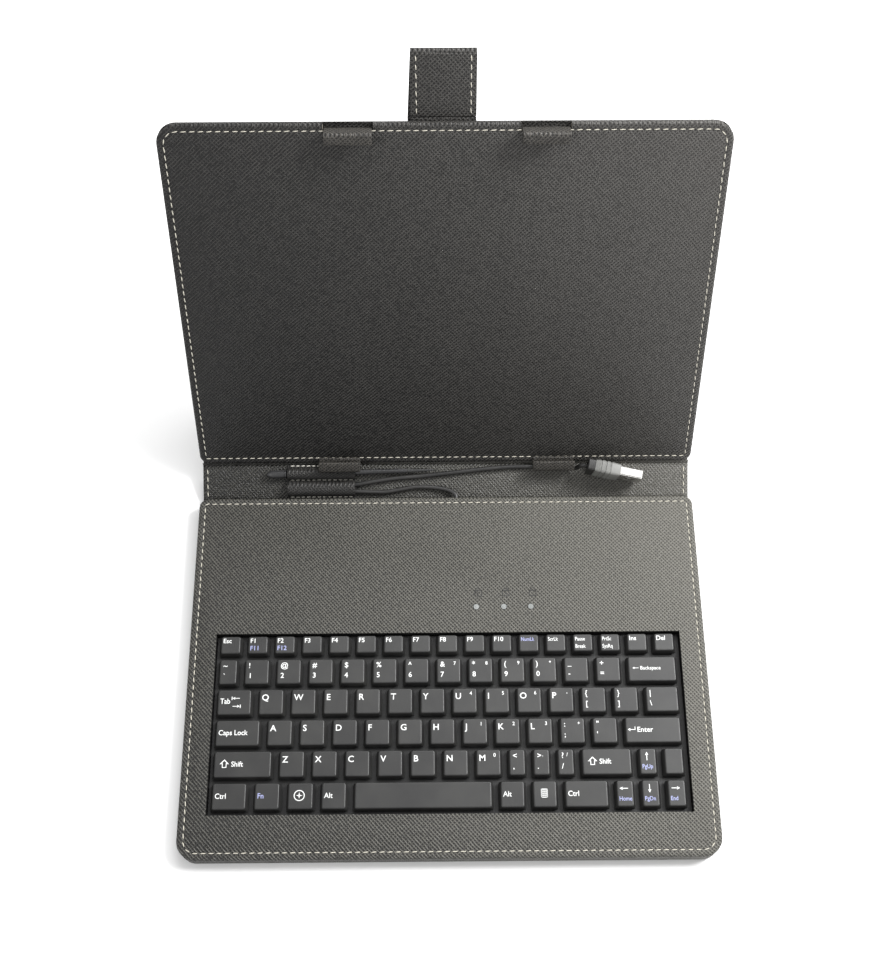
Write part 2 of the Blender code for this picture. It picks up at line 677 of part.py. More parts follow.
def build_plug():
    grey = material("plug_grey", (0.42, 0.42, 0.41), 0.5)
    bm = bmesh.new()
    half = [size / 2 for size in PLUG_BODY]
    add_box(bm, (-half[0], half[0]), (-half[1], half[1]), (-half[2], half[2]))
    bmesh.ops.bevel(bm, geom=bm.edges[:], offset=0.9 * MM, segments=2, profile=0.5, affect="EDGES")
    body = from_bmesh("usb_plug_body", bm, None, grey)
    body.matrix_world = plug_matrix()

    start = half[0] + GAP
    shell_half = [size / 2 for size in PLUG_SHELL]
    shell_x = (start, start + PLUG_SHELL[0])
    shell = box(
        "usb_plug_shell", shell_x, (-shell_half[1], shell_half[1]), (-shell_half[2], shell_half[2]), None,
        material("steel", STEEL_COLOUR, 0.35, 1.0),
    )
    shell.matrix_world = plug_matrix()
    wall = PLUG_SHELL_WALL
    hollow = box(
        "shell_hollow", (start + 1 * MM, start + 20 * MM), (-shell_half[1] + wall, shell_half[1] - wall),
        (-shell_half[2] + wall, shell_half[2] - wall), cutter=True,
    )
    hollow.matrix_world = plug_matrix()
    boolean(shell, hollow)
    tongue = box(
        "usb_plug_tongue", (start + 1.3 * MM, shell_x[1] - 0.6 * MM), (-shell_half[1] + wall + GAP, -0.1 * MM),
        (-shell_half[2] + wall + GAP, shell_half[2] - wall - GAP), None,
        material("black_plastic", PLASTIC_COLOUR, 0.5),
    )
    tongue.matrix_world = plug_matrix()


# Lid


def lid_point(x, u, n):
    """World place of a point given in the lid's frame, n measured from the hinge line."""
    y = LID_HINGE_Y + u * math.cos(LID_ANGLE) - n * math.sin(LID_ANGLE)
    z = LID_HINGE_Z + u * math.sin(LID_ANGLE) + n * math.cos(LID_ANGLE)
    return Vector((x, y, z))


def hook_slots(name, n, start):
    """A cutter for the two slots that the top hooks slide in, open at the lid's top edge."""
    bm = bmesh.new()
    half = HOOK_WIDTH / 2 + 0.5 * MM
    for x in TOP_HOOK_X:
        add_box(bm, (x - half, x + half), (start, LID_END + 5 * MM), n)
    return from_bmesh(name, bm, lid_pivot, cutter=True)


def hook(name, x, sections, parent):
    """A hook of one width, its side view joined from overlapping rectangles."""
    half = HOOK_WIDTH / 2
    across = (x - half, x + half)
    obj = box(name, across, *sections[0], parent, leather())
    for index, section in enumerate(sections[1:]):
        boolean(obj, box(f"{name}_part_{index}", across, *section, parent, cutter=True), "UNION")
    return obj


def build_top_hooks():
    outer = LID_END - 2.2 * MM
    top = LID_INNER + TOP_HOOK_HEIGHT
    foot = (0.35 * MM, 1.75 * MM)
    for side, x in zip(("left", "right"), TOP_HOOK_X):
        hook(
            f"top_hook_{side}", x,
            [
                ((HOOK_FOOT_START, outer), foot),
                ((outer - HOOK_WALL, outer), (foot[0], top)),
                ((outer - TOP_HOOK_LIP, outer), (top - HOOK_WALL, top)),
            ],
            lid_pivot,
        )
        box(
            f"hook_elastic_{side}", (x - 7 * MM, x + 7 * MM), (ELASTIC_START, HOOK_FOOT_START - GAP),
            (0.5 * MM, 1.5 * MM), lid_pivot, material("elastic", (0.04, 0.04, 0.04), 0.9),
        )


def build_bottom_hooks():
    outer = LID_START - 0.7 * MM
    top = LID_INNER + BOTTOM_HOOK_HEIGHT
    base = (LID_INNER + GAP, LID_INNER + 1.1 * MM)
    for side, x in zip(("left", "right"), BOTTOM_HOOK_X):
        hook(
            f"bottom_hook_{side}", x,
            [
                ((outer, LID_START + 4 * MM), base),
                ((outer, outer + HOOK_WALL), (base[0], top)),
                ((outer, outer + BOTTOM_HOOK_LIP), (top - HOOK_WALL, top)),
            ],
            lid_pivot,
        )


def build_lid():
    x = (-WIDTH / 2, WIDTH / 2)
    y = (LID_START, LID_END)
    liner_bottom = LID_INNER - 0.75 * MM
    rim_top = liner_bottom - GAP
    cover = open_tray("lid_outer_cover", x, y, (-HINGE_DEPTH, rim_top), 1, lid_pivot)
    boolean(cover, hook_slots("cover_slots", (0.1 * MM, 20 * MM), LID_END - 3 * MM))
    board = from_bmesh(
        "lid_board", panel_bmesh(x, y, (LEATHER - HINGE_DEPTH + GAP, rim_top), 1, LEATHER + GAP), lid_pivot,
        material("greyboard", BOARD_COLOUR, 0.9),
    )
    boolean(board, hook_slots("board_slots", (-5 * MM, 20 * MM), ELASTIC_START - 1 * MM))
    liner = from_bmesh("lid_liner", panel_bmesh(x, y, (liner_bottom, LID_INNER), 1), lid_pivot, leather())
    boolean(liner, hook_slots("liner_slots", (0, 20 * MM), LID_END - 4.2 * MM))


def round_end(bm, end_u, radius):
    """Rounds the two corners of a strap at its end_u edge."""
    edges = []
    for edge in bm.edges:
        a, b = (v.co for v in edge.verts)
        if abs(a.x - b.x) < 1e-7 and abs(a.y - b.y) < 1e-7 and abs(a.y - end_u) < 1e-7:
            edges.append(edge)
    bmesh.ops.bevel(bm, geom=edges, offset=radius, segments=4, profile=0.5, affect="EDGES")


def strap_layer(name, x, u, n, parent, rounded=None):
    bm = bmesh.new()
    add_box(bm, x, u, n)
    if rounded is not None:
        round_end(bm, rounded, 12 * MM)
    return from_bmesh(name, bm, parent, leather())


def build_strap():
    half = STRAP_WIDTH / 2
    x = (STRAP_X - half, STRAP_X + half)
    front = -HINGE_DEPTH - GAP
    back = front - STRAP_THICKNESS
    strap_layer("strap_anchor", x, (LID_END - 22 * MM, STRAP_BEND - GAP / 2), (back, front), lid_pivot,
                LID_END - 22 * MM)
    strap_layer("strap_root", x, (STRAP_BEND + GAP / 2, STRAP_FOLD - 0.2 * MM), (back, front), lid_pivot)

    turn = bpy.data.objects.new("strap_fold_line", None)
    parts.objects.link(turn)
    turn.parent = lid_pivot
    turn.location = (STRAP_X, STRAP_FOLD, back - 0.2 * MM)
    turn.rotation_euler = (0, 0, -STRAP_SKEW)
    under = -0.2 * MM
    end = strap_layer(
        "strap_end", (-half, half), (-STRAP_END_LENGTH, -0.9 * MM), (under - STRAP_THICKNESS, under), turn,
        -STRAP_END_LENGTH,
    )
    magnet_u = -STRAP_END_LENGTH + 14 * MM
    low = under - STRAP_THICKNESS
    bm = bmesh.new()
    add_upright_cylinder(bm, 0, magnet_u, MAGNET_RADIUS + GAP, (low - 1 * MM, low + MAGNET_DEPTH + GAP), 20)
    boolean(end, from_bmesh("magnet_pocket", bm, turn, cutter=True))
    bm = bmesh.new()
    add_upright_cylinder(bm, 0, magnet_u, MAGNET_RADIUS, (low, low + MAGNET_DEPTH), 20)
    from_bmesh("strap_magnet", bm, turn, material("steel", STEEL_COLOUR, 0.35, 1.0))


def build_leg():
    """The prop leg: a tapered panel that stands on the table and leans the lid back."""
    hinge = lid_point(0, LEG_HINGE_U, -HINGE_DEPTH - GAP)
    angle = -math.asin(hinge.z / LEG_LENGTH)
    leg_pivot = pivot("leg_hinge_line", hinge, angle)
    bm = bmesh.new()
    verts = add_box(bm, (-LEG_WIDTHS[0] / 2, LEG_WIDTHS[0] / 2), (0, LEG_LENGTH), (0, LEG_THICKNESS))
    for v in verts:
        if v.co.y > LEG_LENGTH / 2:
            v.co.x *= LEG_WIDTHS[1] / LEG_WIDTHS[0]
    from_bmesh("prop_leg", bm, leg_pivot, leather())


clear_scene()
parts = new_collection("tablet_keyboard_case")
cutters = new_collection("cutters")
spine_pivot = pivot("spine_hinge_line", (0, BASE_HINGE_Y, HINGE_DEPTH), SPINE_ANGLE)
lid_pivot = pivot("lid_hinge_line", (0, LID_HINGE_Y, LID_HINGE_Z), LID_ANGLE)
build_base()
build_keyboard_module()
build_keys()
build_spine()
build_stylus()
build_cable()
build_plug()
build_lid()
build_top_hooks()
build_bottom_hooks()
build_strap()
build_leg()
bpy.context.view_layer.update()
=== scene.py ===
"""Looks of the tablet keyboard case: leathercloth, printed keys, cable, stylus and hooks."""

import json
import math
import random

import bmesh
import bpy
from mathutils import Matrix, Vector, noise


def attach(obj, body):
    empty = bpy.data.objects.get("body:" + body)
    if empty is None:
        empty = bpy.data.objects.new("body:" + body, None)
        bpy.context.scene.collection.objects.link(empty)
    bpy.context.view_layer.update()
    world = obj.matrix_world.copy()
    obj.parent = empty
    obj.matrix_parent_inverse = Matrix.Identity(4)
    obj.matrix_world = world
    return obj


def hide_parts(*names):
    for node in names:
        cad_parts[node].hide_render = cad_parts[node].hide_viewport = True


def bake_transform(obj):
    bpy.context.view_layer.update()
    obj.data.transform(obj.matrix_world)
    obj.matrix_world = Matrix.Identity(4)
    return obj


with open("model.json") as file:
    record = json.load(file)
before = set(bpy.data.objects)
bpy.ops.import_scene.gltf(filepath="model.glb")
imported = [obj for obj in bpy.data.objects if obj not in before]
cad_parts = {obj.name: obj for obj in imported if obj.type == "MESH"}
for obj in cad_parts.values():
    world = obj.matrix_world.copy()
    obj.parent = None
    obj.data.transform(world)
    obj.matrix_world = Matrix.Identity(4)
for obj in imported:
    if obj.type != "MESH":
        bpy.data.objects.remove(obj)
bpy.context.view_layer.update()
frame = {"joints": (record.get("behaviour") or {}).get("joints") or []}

MM = 0.001
TOUCH = 1e-7  # coordinates closer than this are the same
RANDOM = random.Random(7)

# The part's own sizes. All but INNER_CORNER are as in the CAD, where that corner is 2.5 mm: it is rounder
# here so that the furrow of the stitching fits inside it.
WIDTH = 270 * MM
DEPTH = 195 * MM
BASE_HEIGHT = 9.5 * MM
LEATHER = 0.8 * MM
GAP = 0.3 * MM
HINGE_DEPTH = 1 * MM
OUTER_CORNER = 10 * MM
INNER_CORNER = 4.8 * MM
WELL_X = (-121.2 * MM, 121.9 * MM)
WELL_Y = (-75.5 * MM, 19.2 * MM)
LID_START = 1.9 * MM
LID_END = LID_START + DEPTH
LID_INNER = 3 * MM
LID_ANGLE = math.radians(62.56)
STITCH_INSET = 3.5 * MM
JOINTS = {joint["name"]: joint for joint in frame["joints"]}
SPINE_HINGE = Vector(JOINTS["spine_fold"]["pos_m"])
LID_HINGE = Vector(JOINTS["lid_fold"]["pos_m"])
SPINE_RUN = LID_HINGE - SPINE_HINGE
SPINE_ANGLE = math.atan2(SPINE_RUN.z, SPINE_RUN.y)
SPINE_LENGTH = SPINE_RUN.length
LID_FRAME = Matrix.Translation(LID_HINGE) @ Matrix.Rotation(LID_ANGLE, 4, "X")
SPINE_FRAME = Matrix.Translation(SPINE_HINGE) @ Matrix.Rotation(SPINE_ANGLE, 4, "X")
BASE_FRAME = Matrix.Identity(4)

# Camera
CAMERA_PLACE = (-5.76 * MM, -211.7 * MM, 688.3 * MM)
CAMERA_TURN = (0.4182, -0.0021, -0.0086)
CAMERA_LENS = 51.0
CAMERA_SHIFT = 0.0306
WORLD_STRENGTH = 0.66
LIGHT_TARGET = (0, 0.03, 0.03)
LIGHTS = (
    ("key_light", (0.80, 0.30, 0.90), 0.45, 19.0),
    ("top_light", (0.25, 0.75, 1.3), 0.9, 10.0),
    ("fill_light", (-0.9, -0.5, 0.9), 0.9, 3.2),
)
FLOOR_HALF = 3.0
FLOOR_DROP = 0.2 * MM

# Cable and plug, where the CAD has them: the route's points are (x, up the spine, above it) in millimetres
CABLE_DIAMETER = 2.5 * MM
CABLE_STEPS = 3
CABLE_EXIT = Vector((5.5 * MM, 97.75 * MM, 6.0 * MM))
CABLE_ROUTE = (
    (4.9, 3.4, 5.3), (2.4, 5.2, 4.6), (-2.5, 6.5, 4.15), (-9.0, 7.3, 4.15), (-17.0, 7.4, 4.15),
    (-25.0, 6.1, 4.15),
    (-33.0, 4.8, 4.15), (-41.0, 4.9, 4.15), (-50.0, 5.2, 4.15), (-62.0, 5.0, 4.15),
    (-73.0, 5.0, 4.15),
    (-80.0, 5.1, 4.15), (-82.7, 6.0, 4.15), (-83.3, 7.1, 4.15), (-82.4, 8.3, 4.15),
    (-79.5, 8.9, 4.15),
    (-70.0, 8.8, 4.15), (-60.0, 8.8, 4.15), (-50.0, 9.0, 4.15), (-40.0, 10.6, 4.15),
    (-28.0, 12.3, 4.15),
    (-14.0, 13.4, 4.15), (2.0, 15.0, 4.15), (18.0, 16.8, 4.15), (32.0, 18.0, 4.15),
    (44.0, 18.3, 4.15),
    (56.0, 18.2, 4.15), (65.0, 17.8, 4.3), (71.0, 17.2, 5.9),
)
PLUG_PLACE = (86.0 * MM, 16.6 * MM, 10.9 * MM)
PLUG_YAW = math.radians(-11.9)
PLUG_LEAN = math.radians(-13)
PLUG_BODY = (17.5 * MM, 7.4 * MM, 14.4 * MM)
PLUG_SHELL = (11.8 * MM, 4.5 * MM, 12.0 * MM)
PLUG_REAR_LENGTH = 3.4 * MM
PLUG_GROOVES = (6.6 * MM, 9.2 * MM, 11.8 * MM)
PLUG_CORNER = 1.6 * MM
SHELL_WALL = 0.35 * MM
SHELL_WINDOWS = (-2.6 * MM, 2.6 * MM)
CONTACTS = (-3.5 * MM, -1.0 * MM, 1.0 * MM, 3.5 * MM)

# Keys
CAP_BOTTOM = 6.7 * MM
CAP_TOP = 10.1 * MM
CAP_SIDE_SLOPE = 1.2 * MM
CAP_BACK_SLOPE = 0.4 * MM
CAP_FRONT_SLOPE = 0.8 * MM
ROW_START = -119.2 * MM
ROW_WIDTH = 238.4 * MM
ROW_PITCH = 16.15 * MM
TOP_ROW_Y = 12.75 * MM
TOP_ROW_DEPTH = 10.3 * MM
FIRST_ROW_Y = -1.8 * MM
ROW_DEPTH = 14.1 * MM
LETTER = 14.2  # a letter cap's width, in millimetres

# Runs of caps: node, widths, and what each cap carries, as (lines, small corner mark)
KEY_ROWS = (
    (
        ("key_escape", [12.0], ["Esc"]),
        ("keys_function", [12.0] * 10, ["F1/F11", "F2/F12"] + [f"F{n}" for n in range(3, 11)]),
        (
            "keys_lock_and_edit", [12.0] * 6,
            ["NumLk", "ScrLk", "Pause/Break", "PrtSc/SysRq", "Ins", "Del"],
        ),
    ),
    (
        ("keys_numbers", [10.8] + [LETTER] * 12,
         [
             "~ `", "! 1", "@ 2", "# 3", "$ 4", "% 5", "^ 6", "& 7 7", "* 8 8", "( 9 9", ") 0 *",
             "_ -", "+ =",
         ]),
        ("key_backspace", [26.6], ["Backspace"]),
    ),
    (
        ("key_tab", [18.9], ["Tab"]),
        ("keys_upper_letters", [LETTER] * 12 + [18.4],
         ["Q", "W", "E", "R", "T", "Y", "U  4", "I  5", "O  6", "P  -", "{ [", "} ]", "| \\"]),
    ),
    (
        ("key_caps_lock", [23.9], ["Caps Lock"]),
        (
            "keys_home_letters", [LETTER] * 11,
            ["A", "S", "D", "F", "G", "H", "J  1", "K  2", "L  3", ": ; +", "\" '"],
        ),
        ("key_enter", [30.0], ["Enter"]),
    ),
    (
        ("key_shift_left", [30.6], ["Shift"]),
        ("keys_lower_letters", [14.13] * 7 + [9.9] * 3,
         ["Z", "X", "C", "V", "B", "N", "M  0", "< ,", "> . .", "? / /"]),
        ("key_shift_right", [26.6], ["Shift"]),
        ("key_arrow_up", [10.2], ["up/PgUp"]),
        ("key_blank", [11.2], [""]),
    ),
    (
        ("key_control_left", [18.7], ["Ctrl"]),
        ("key_function_shift", [14.15], ["Fn"]),
        ("keys_system_and_alt", [14.3, 14.0], ["system", "Alt"]),
        ("key_space", [70.4], [""]),
        ("keys_modifiers_right", [13.8, 13.6, 23.2], ["Alt", "menu", "Ctrl"]),
        ("keys_arrows", [10.3, 10.4, 10.7], ["left/Home", "down/PgDn", "right/End"]),
    ),
)
BLUE_WORDS = {"F11", "F12", "NumLk", "Fn", "Home", "PgUp", "PgDn", "End"}
ARROW_TURNS = {"right": 0, "up": math.pi / 2, "left": math.pi, "down": -math.pi / 2}


# Materials


def principled(name, colour, roughness, metallic=0.0):
    mat = bpy.data.materials.new(name)
    mat.use_nodes = True
    shader = mat.node_tree.nodes["Principled BSDF"]
    shader.inputs["Base Color"].default_value = (*colour, 1)
    shader.inputs["Roughness"].default_value = roughness
    shader.inputs["Metallic"].default_value = metallic
    return mat, shader


def add_node(mat, kind, inputs=None, **settings):
    node = mat.node_tree.nodes.new(kind)
    for key, value in settings.items():
        setattr(node, key, value)
    for key, value in (inputs or {}).items():
        if isinstance(value, bpy.types.NodeSocket):
            mat.node_tree.links.new(value, node.inputs[key])
        else:
            node.inputs[key].default_value = value
    return node


def object_points(mat, turn=0.0, spin=0.0, stretch=(1, 1, 1)):
    """Points in the piece's own flat frame. Height shifts them too, so that edge walls get grain."""
    coords = add_node(mat, "ShaderNodeTexCoord")
    flat = add_node(
        mat, "ShaderNodeMapping", {"Vector": coords.outputs["Object"], "Rotation": (-turn, 0, 0)}
    )
    parts = add_node(mat, "ShaderNodeSeparateXYZ", {"Vector": flat.outputs["Vector"]})
    climb = math_node(mat, "ADD", parts.outputs["Y"], parts.outputs["Z"])
    leaning = add_node(
        mat, "ShaderNodeCombineXYZ", {"X": parts.outputs["X"], "Y": climb, "Z": parts.outputs["Z"]}
    )
    spun = add_node(
        mat, "ShaderNodeMapping",
        {"Vector": leaning.outputs["Vector"], "Rotation": (0, 0, spin), "Scale": stretch}
    )
    return spun.outputs["Vector"]


def noise_at(mat, points, scale, detail=3.0):
    inputs = {"Vector": points, "Scale": scale, "Detail": detail}
    return add_node(mat, "ShaderNodeTexNoise", inputs).outputs["Fac"]


def ramp(mat, value, low, high, dark, light):
    node = add_node(mat, "ShaderNodeValToRGB", {"Fac": value})
    node.color_ramp.elements[0].position = low
    node.color_ramp.elements[0].color = (*dark, 1)
    node.color_ramp.elements[1].position = high
    node.color_ramp.elements[1].color = (*light, 1)
    return node.outputs["Color"]


def math_node(mat, operation, a, b):
    return add_node(mat, "ShaderNodeMath", {0: a, 1: b}, operation=operation).outputs["Value"]


def bump(mat, shader, height, strength, distance):
    node = add_node(
        mat, "ShaderNodeBump", {"Height": height, "Strength": strength, "Distance": distance}
    )
    mat.node_tree.links.new(node.outputs["Normal"], shader.inputs["Normal"])


def link(mat, value, shader, name):
    mat.node_tree.links.new(value, shader.inputs[name])


HATCH_SCALE = 215.0
HATCH_DEPTH = 0.45 * MM
HATCH_TURNS = (math.radians(48), math.radians(-42))
BREAK_SCALE = 520.0
PORE_SCALE = 2400.0
CREASE_SCALE = 30.0


def leathercloth(name, turn, dark, light, crease=0.0, painted_light_drift=None, gloss=0.0, weights=(1.0, 0.7)):
    """Cross-grained leathercloth: two sets of slanting ridges that cut each other into lozenges.

    drift is painted light: how much lighter the piece grows per metre to its right and per metre to its far side,
    where the lamps stand, and the distance at which the second starts. weights are the strengths of the sets of
    ridges.
    """
    mat, shader = principled(name, light, 0.6)
    flat = object_points(mat, turn)
    ridges = []
    for spin, weight in zip(HATCH_TURNS, weights):
        points = object_points(mat, turn, spin)
        wave = add_node(
            mat, "ShaderNodeTexWave",
            {
                "Vector": points, "Scale": HATCH_SCALE, "Distortion": 1.5, "Detail": 2.0,
                "Detail Scale": 1.4,
            },
            bands_direction="X",
        )
        breaks = ramp(
            mat, noise_at(mat, points, BREAK_SCALE, 2.0), 0.36, 0.56, (0.55 * weight,) * 3,
            (weight,) * 3,
        )
        ridges.append(math_node(mat, "MULTIPLY", wave.outputs["Fac"], breaks))
    grain = math_node(mat, "MAXIMUM", *ridges)
    pores = noise_at(mat, flat, PORE_SCALE, 2.0)
    soft = noise_at(mat, flat, CREASE_SCALE)
    height = math_node(mat, "ADD", grain, math_node(mat, "MULTIPLY", pores, 0.16))
    height = math_node(mat, "ADD", height, math_node(mat, "MULTIPLY", soft, 0.1 + crease))
    bump(mat, shader, height, 0.95, HATCH_DEPTH)
    tone = math_node(mat, "MULTIPLY", grain, 0.8)
    tone = math_node(mat, "ADD", tone, math_node(mat, "MULTIPLY", soft, 0.1))
    # Painted light: the tone grows lighter towards the piece's right and far side, where the lamps stand.
    if painted_light_drift:
        place = add_node(mat, "ShaderNodeSeparateXYZ", {"Vector": flat})
        right = math_node(mat, "MULTIPLY", place.outputs["X"], painted_light_drift[0])
        far = math_node(
            mat, "MULTIPLY", math_node(mat, "SUBTRACT", place.outputs["Y"], painted_light_drift[2]), painted_light_drift[1]
        )
        tone = math_node(mat, "ADD", tone, math_node(mat, "ADD", right, far))
    link(mat, ramp(mat, tone, 0.15, 0.95, dark, light), shader, "Base Color")
    spread = ramp(mat, grain, 0.1, 0.8, (0.68 - gloss,) * 3, (0.46 - gloss,) * 3)
    link(mat, spread, shader, "Roughness")
    shader.inputs["Specular IOR Level"].default_value = 0.45
    return mat


def moulded(name, dark, light, roughness, grain=1500.0, depth=0.03 * MM):
    """Moulded plastic with a fine spark-eroded texture and slight cloudiness."""
    mat, shader = principled(name, light, roughness)
    points = object_points(mat)
    fine = noise_at(mat, points, grain, 2.0)
    cloud = noise_at(mat, points, 60.0, 3.0)
    bump(mat, shader, fine, 0.35, depth)
    link(mat, ramp(mat, cloud, 0.35, 0.68, dark, light), shader, "Base Color")
    spread = ramp(mat, fine, 0.3, 0.75, (roughness - 0.06,) * 3, (roughness + 0.08,) * 3)
    link(mat, spread, shader, "Roughness")
    return mat


def thread(name, dark=(0.42, 0.39, 0.32), light=(0.70, 0.67, 0.58)):
    mat, shader = principled(name, light, 0.75)
    points = object_points(mat)
    twist = add_node(
        mat, "ShaderNodeTexWave", {"Vector": points, "Scale": 900.0, "Distortion": 1.0},
        bands_direction="DIAGONAL"
    ).outputs["Fac"]
    bump(mat, shader, twist, 0.5, 0.06 * MM)
    link(mat, ramp(mat, twist, 0.1, 0.8, dark, light), shader, "Base Color")
    shader.inputs["Sheen Weight"].default_value = 0.2
    return mat


def metal(name, colour, roughness):
    mat, shader = principled(name, colour, roughness, 1.0)
    points = object_points(mat, stretch=(0.15, 1, 1))
    brushed = noise_at(mat, points, 1800.0, 3.0)
    bump(mat, shader, brushed, 0.2, 0.02 * MM)
    link(
        mat, ramp(mat, brushed, 0.2, 0.8, (roughness - 0.08,) * 3, (roughness + 0.12,) * 3),
        shader, "Roughness",
    )
    return mat


def woven(name, colour):
    mat, shader = principled(name, colour, 0.9)
    points = object_points(mat)
    weave = add_node(
        mat, "ShaderNodeTexWave", {"Vector": points, "Scale": 400.0}, bands_direction="X"
    )
    bump(mat, shader, weave.outputs["Fac"], 0.6, 0.1 * MM)
    link(
        mat, ramp(mat, weave.outputs["Fac"], 0.2, 0.8, tuple(c * 0.6 for c in colour), colour),
        shader, "Base Color",
    )
    return mat


# Painted light and shade: the base, spine and lid are one leathercloth, given a light tone on the base, a little
# darker on the spine and much darker on the lid.
LEATHER_FLAT = leathercloth(
    "leathercloth_flat", 0.0, (0.008, 0.0078, 0.007), (0.150, 0.145, 0.126), painted_light_drift=(1.5, 0.8, 0.0),
    weights=(0.7, 1.0),
)
LEATHER_LID = leathercloth(
    "leathercloth_lid", LID_ANGLE, (0.004, 0.0038, 0.0036), (0.080, 0.076, 0.070),
    painted_light_drift=(2.2, 0.7, 0.16)
)
LEATHER_SPINE = leathercloth(
    "leathercloth_spine", SPINE_ANGLE, (0.007, 0.0068, 0.006), (0.130, 0.126, 0.112), crease=1.2,
    painted_light_drift=(2.4, 0.0, 0.0), gloss=0.12,
)
LEATHER_TRIM = leathercloth(
    "leathercloth_trim", LID_ANGLE, (0.008, 0.0074, 0.0066), (0.085, 0.078, 0.068)
)
LEATHER_LOOPS = leathercloth(
    "leathercloth_loops", SPINE_ANGLE, (0.004, 0.004, 0.004), (0.040, 0.038, 0.035), crease=0.4
)
THREAD = thread("pale_thread")
THREAD_BRIGHT = thread("bright_thread", (0.60, 0.57, 0.50), (0.88, 0.86, 0.78))
CAP_PLASTIC = moulded("key_cap_plastic", (0.016, 0.016, 0.016), (0.026, 0.026, 0.025), 0.40)
TRAY_PLASTIC = moulded("tray_plastic", (0.005, 0.005, 0.005), (0.009, 0.009, 0.009), 0.55)
PRINT_WHITE = moulded("print_white", (0.74, 0.75, 0.74), (0.86, 0.87, 0.86), 0.5)
PRINT_GREY = moulded("print_grey", (0.010, 0.010, 0.010), (0.018, 0.018, 0.017), 0.6)
PRINT_BLUE = moulded("print_blue", (0.30, 0.32, 0.56), (0.38, 0.41, 0.66), 0.5)
CABLE_RUBBER = moulded("cable_jacket", (0.014, 0.014, 0.014), (0.028, 0.027, 0.026), 0.42)
PLUG_GREY = moulded("plug_overmould", (0.13, 0.13, 0.125), (0.20, 0.20, 0.19), 0.46)
STYLUS_BLACK = moulded("stylus_lacquer", (0.02, 0.02, 0.021), (0.035, 0.035, 0.036), 0.25, 900.0)
STYLUS_PALE = moulded("stylus_tip_plastic", (0.025, 0.025, 0.025), (0.045, 0.045, 0.044), 0.22)
LENS_MILKY = moulded("lens_plastic", (0.16, 0.17, 0.165), (0.26, 0.27, 0.265), 0.35)
PLATED = metal("plated_steel", (0.72, 0.71, 0.69), 0.26)
BOARD = moulded("greyboard", (0.24, 0.21, 0.17), (0.36, 0.33, 0.28), 0.9, 700.0, 0.1 * MM)
FOAM = moulded("foam", (0.03, 0.03, 0.03), (0.06, 0.06, 0.06), 0.95, 900.0, 0.2 * MM)
FILM = moulded("film", (0.14, 0.17, 0.16), (0.22, 0.25, 0.23), 0.25)
SILICONE = moulded("silicone", (0.42, 0.42, 0.42), (0.52, 0.52, 0.52), 0.5)
CIRCUIT = moulded("circuit_lacquer", (0.01, 0.08, 0.04), (0.02, 0.14, 0.07), 0.35)
ELASTIC = woven("elastic_weave", (0.04, 0.04, 0.04))


# Mesh helpers


def keep(obj, body, mat, slot, *nodes):
    """Gives a piece its material and its body, and hides the CAD nodes it stands for."""
    obj.data.materials.clear()
    obj.data.materials.append(mat)
    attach(obj, body)
    if nodes:
        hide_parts(*nodes)
    return obj


def add_object(name, data):
    obj = bpy.data.objects.new(name, data)
    bpy.context.scene.collection.objects.link(obj)
    return obj


def from_bmesh(name, bm, matrix=BASE_FRAME, smooth=35):
    bmesh.ops.recalc_face_normals(bm, faces=bm.faces)
    mesh = bpy.data.meshes.new(name)
    bm.to_mesh(mesh)
    bm.free()
    mesh.transform(matrix)
    mesh.shade_smooth()
    mesh.set_sharp_from_angle(angle=math.radians(smooth))
    return add_object(name, mesh)


def apply_modifiers(obj):
    graph = bpy.context.evaluated_depsgraph_get()
    mesh = bpy.data.meshes.new_from_object(obj.evaluated_get(graph))
    obj.modifiers.clear()
    old = obj.data
    obj.data = mesh
    bpy.data.meshes.remove(old)
    return obj


def add_box(bm, x, y, z):
    verts = bmesh.ops.create_cube(bm, size=1.0)["verts"]
    for v in verts:
        v.co = Vector((x[v.co.x > 0], y[v.co.y > 0], z[v.co.z > 0]))
    return verts


def cut(obj, boxes, matrix=BASE_FRAME):
    """Cuts boxes out of a piece."""
    for x, y, z in boxes:
        bm = bmesh.new()
        add_box(bm, x, y, z)
        cutter = from_bmesh("cutter", bm, matrix)
        mod = obj.modifiers.new("cut", "BOOLEAN")
        mod.operation = "DIFFERENCE"
        mod.object = cutter
        apply_modifiers(obj)
        bpy.data.objects.remove(cutter, do_unlink=True)
    return obj


def runs_along(edge, axis):
    a, b = (v.co for v in edge.verts)
    return all(abs(a[n] - b[n]) < TOUCH for n in range(3) if n != axis)


FURROW_SIDE = 0.8 * MM


def panel_bmesh(x, y, z, radii, edge, seam=0.0):
    """A panel with rounded corners and edges; seam is the depth of its stitching's furrow."""
    bm = bmesh.new()
    add_box(bm, x, y, z)
    middle = sum(y) / 2
    for sign, radius in zip((-1, 1), radii):
        corners = [
            e for e in bm.edges
            if runs_along(e, 2) and (e.verts[0].co.y - middle) * sign > 0
            and abs(abs(e.verts[0].co.x - sum(x) / 2) - (x[1] - x[0]) / 2) < 10 * TOUCH
        ]
        bmesh.ops.bevel(
            bm, geom=corners, offset=radius, segments=max(3, round(radius / MM)), profile=0.5,
            affect="EDGES"
        )
    rims = [e for e in bm.edges if abs(e.verts[0].co.z - e.verts[1].co.z) < TOUCH]
    bmesh.ops.bevel(bm, geom=rims, offset=edge, segments=4, profile=0.5, affect="EDGES")
    if seam:
        for level in z:
            face = next(f for f in bm.faces if all(abs(v.co.z - level) < TOUCH for v in f.verts))
            rim = STITCH_INSET - edge - FURROW_SIDE
            for thickness, depth in ((rim, 0), (FURROW_SIDE, -seam), (FURROW_SIDE, seam)):
                bmesh.ops.inset_region(bm, faces=[face], thickness=thickness, depth=depth)
    return bm


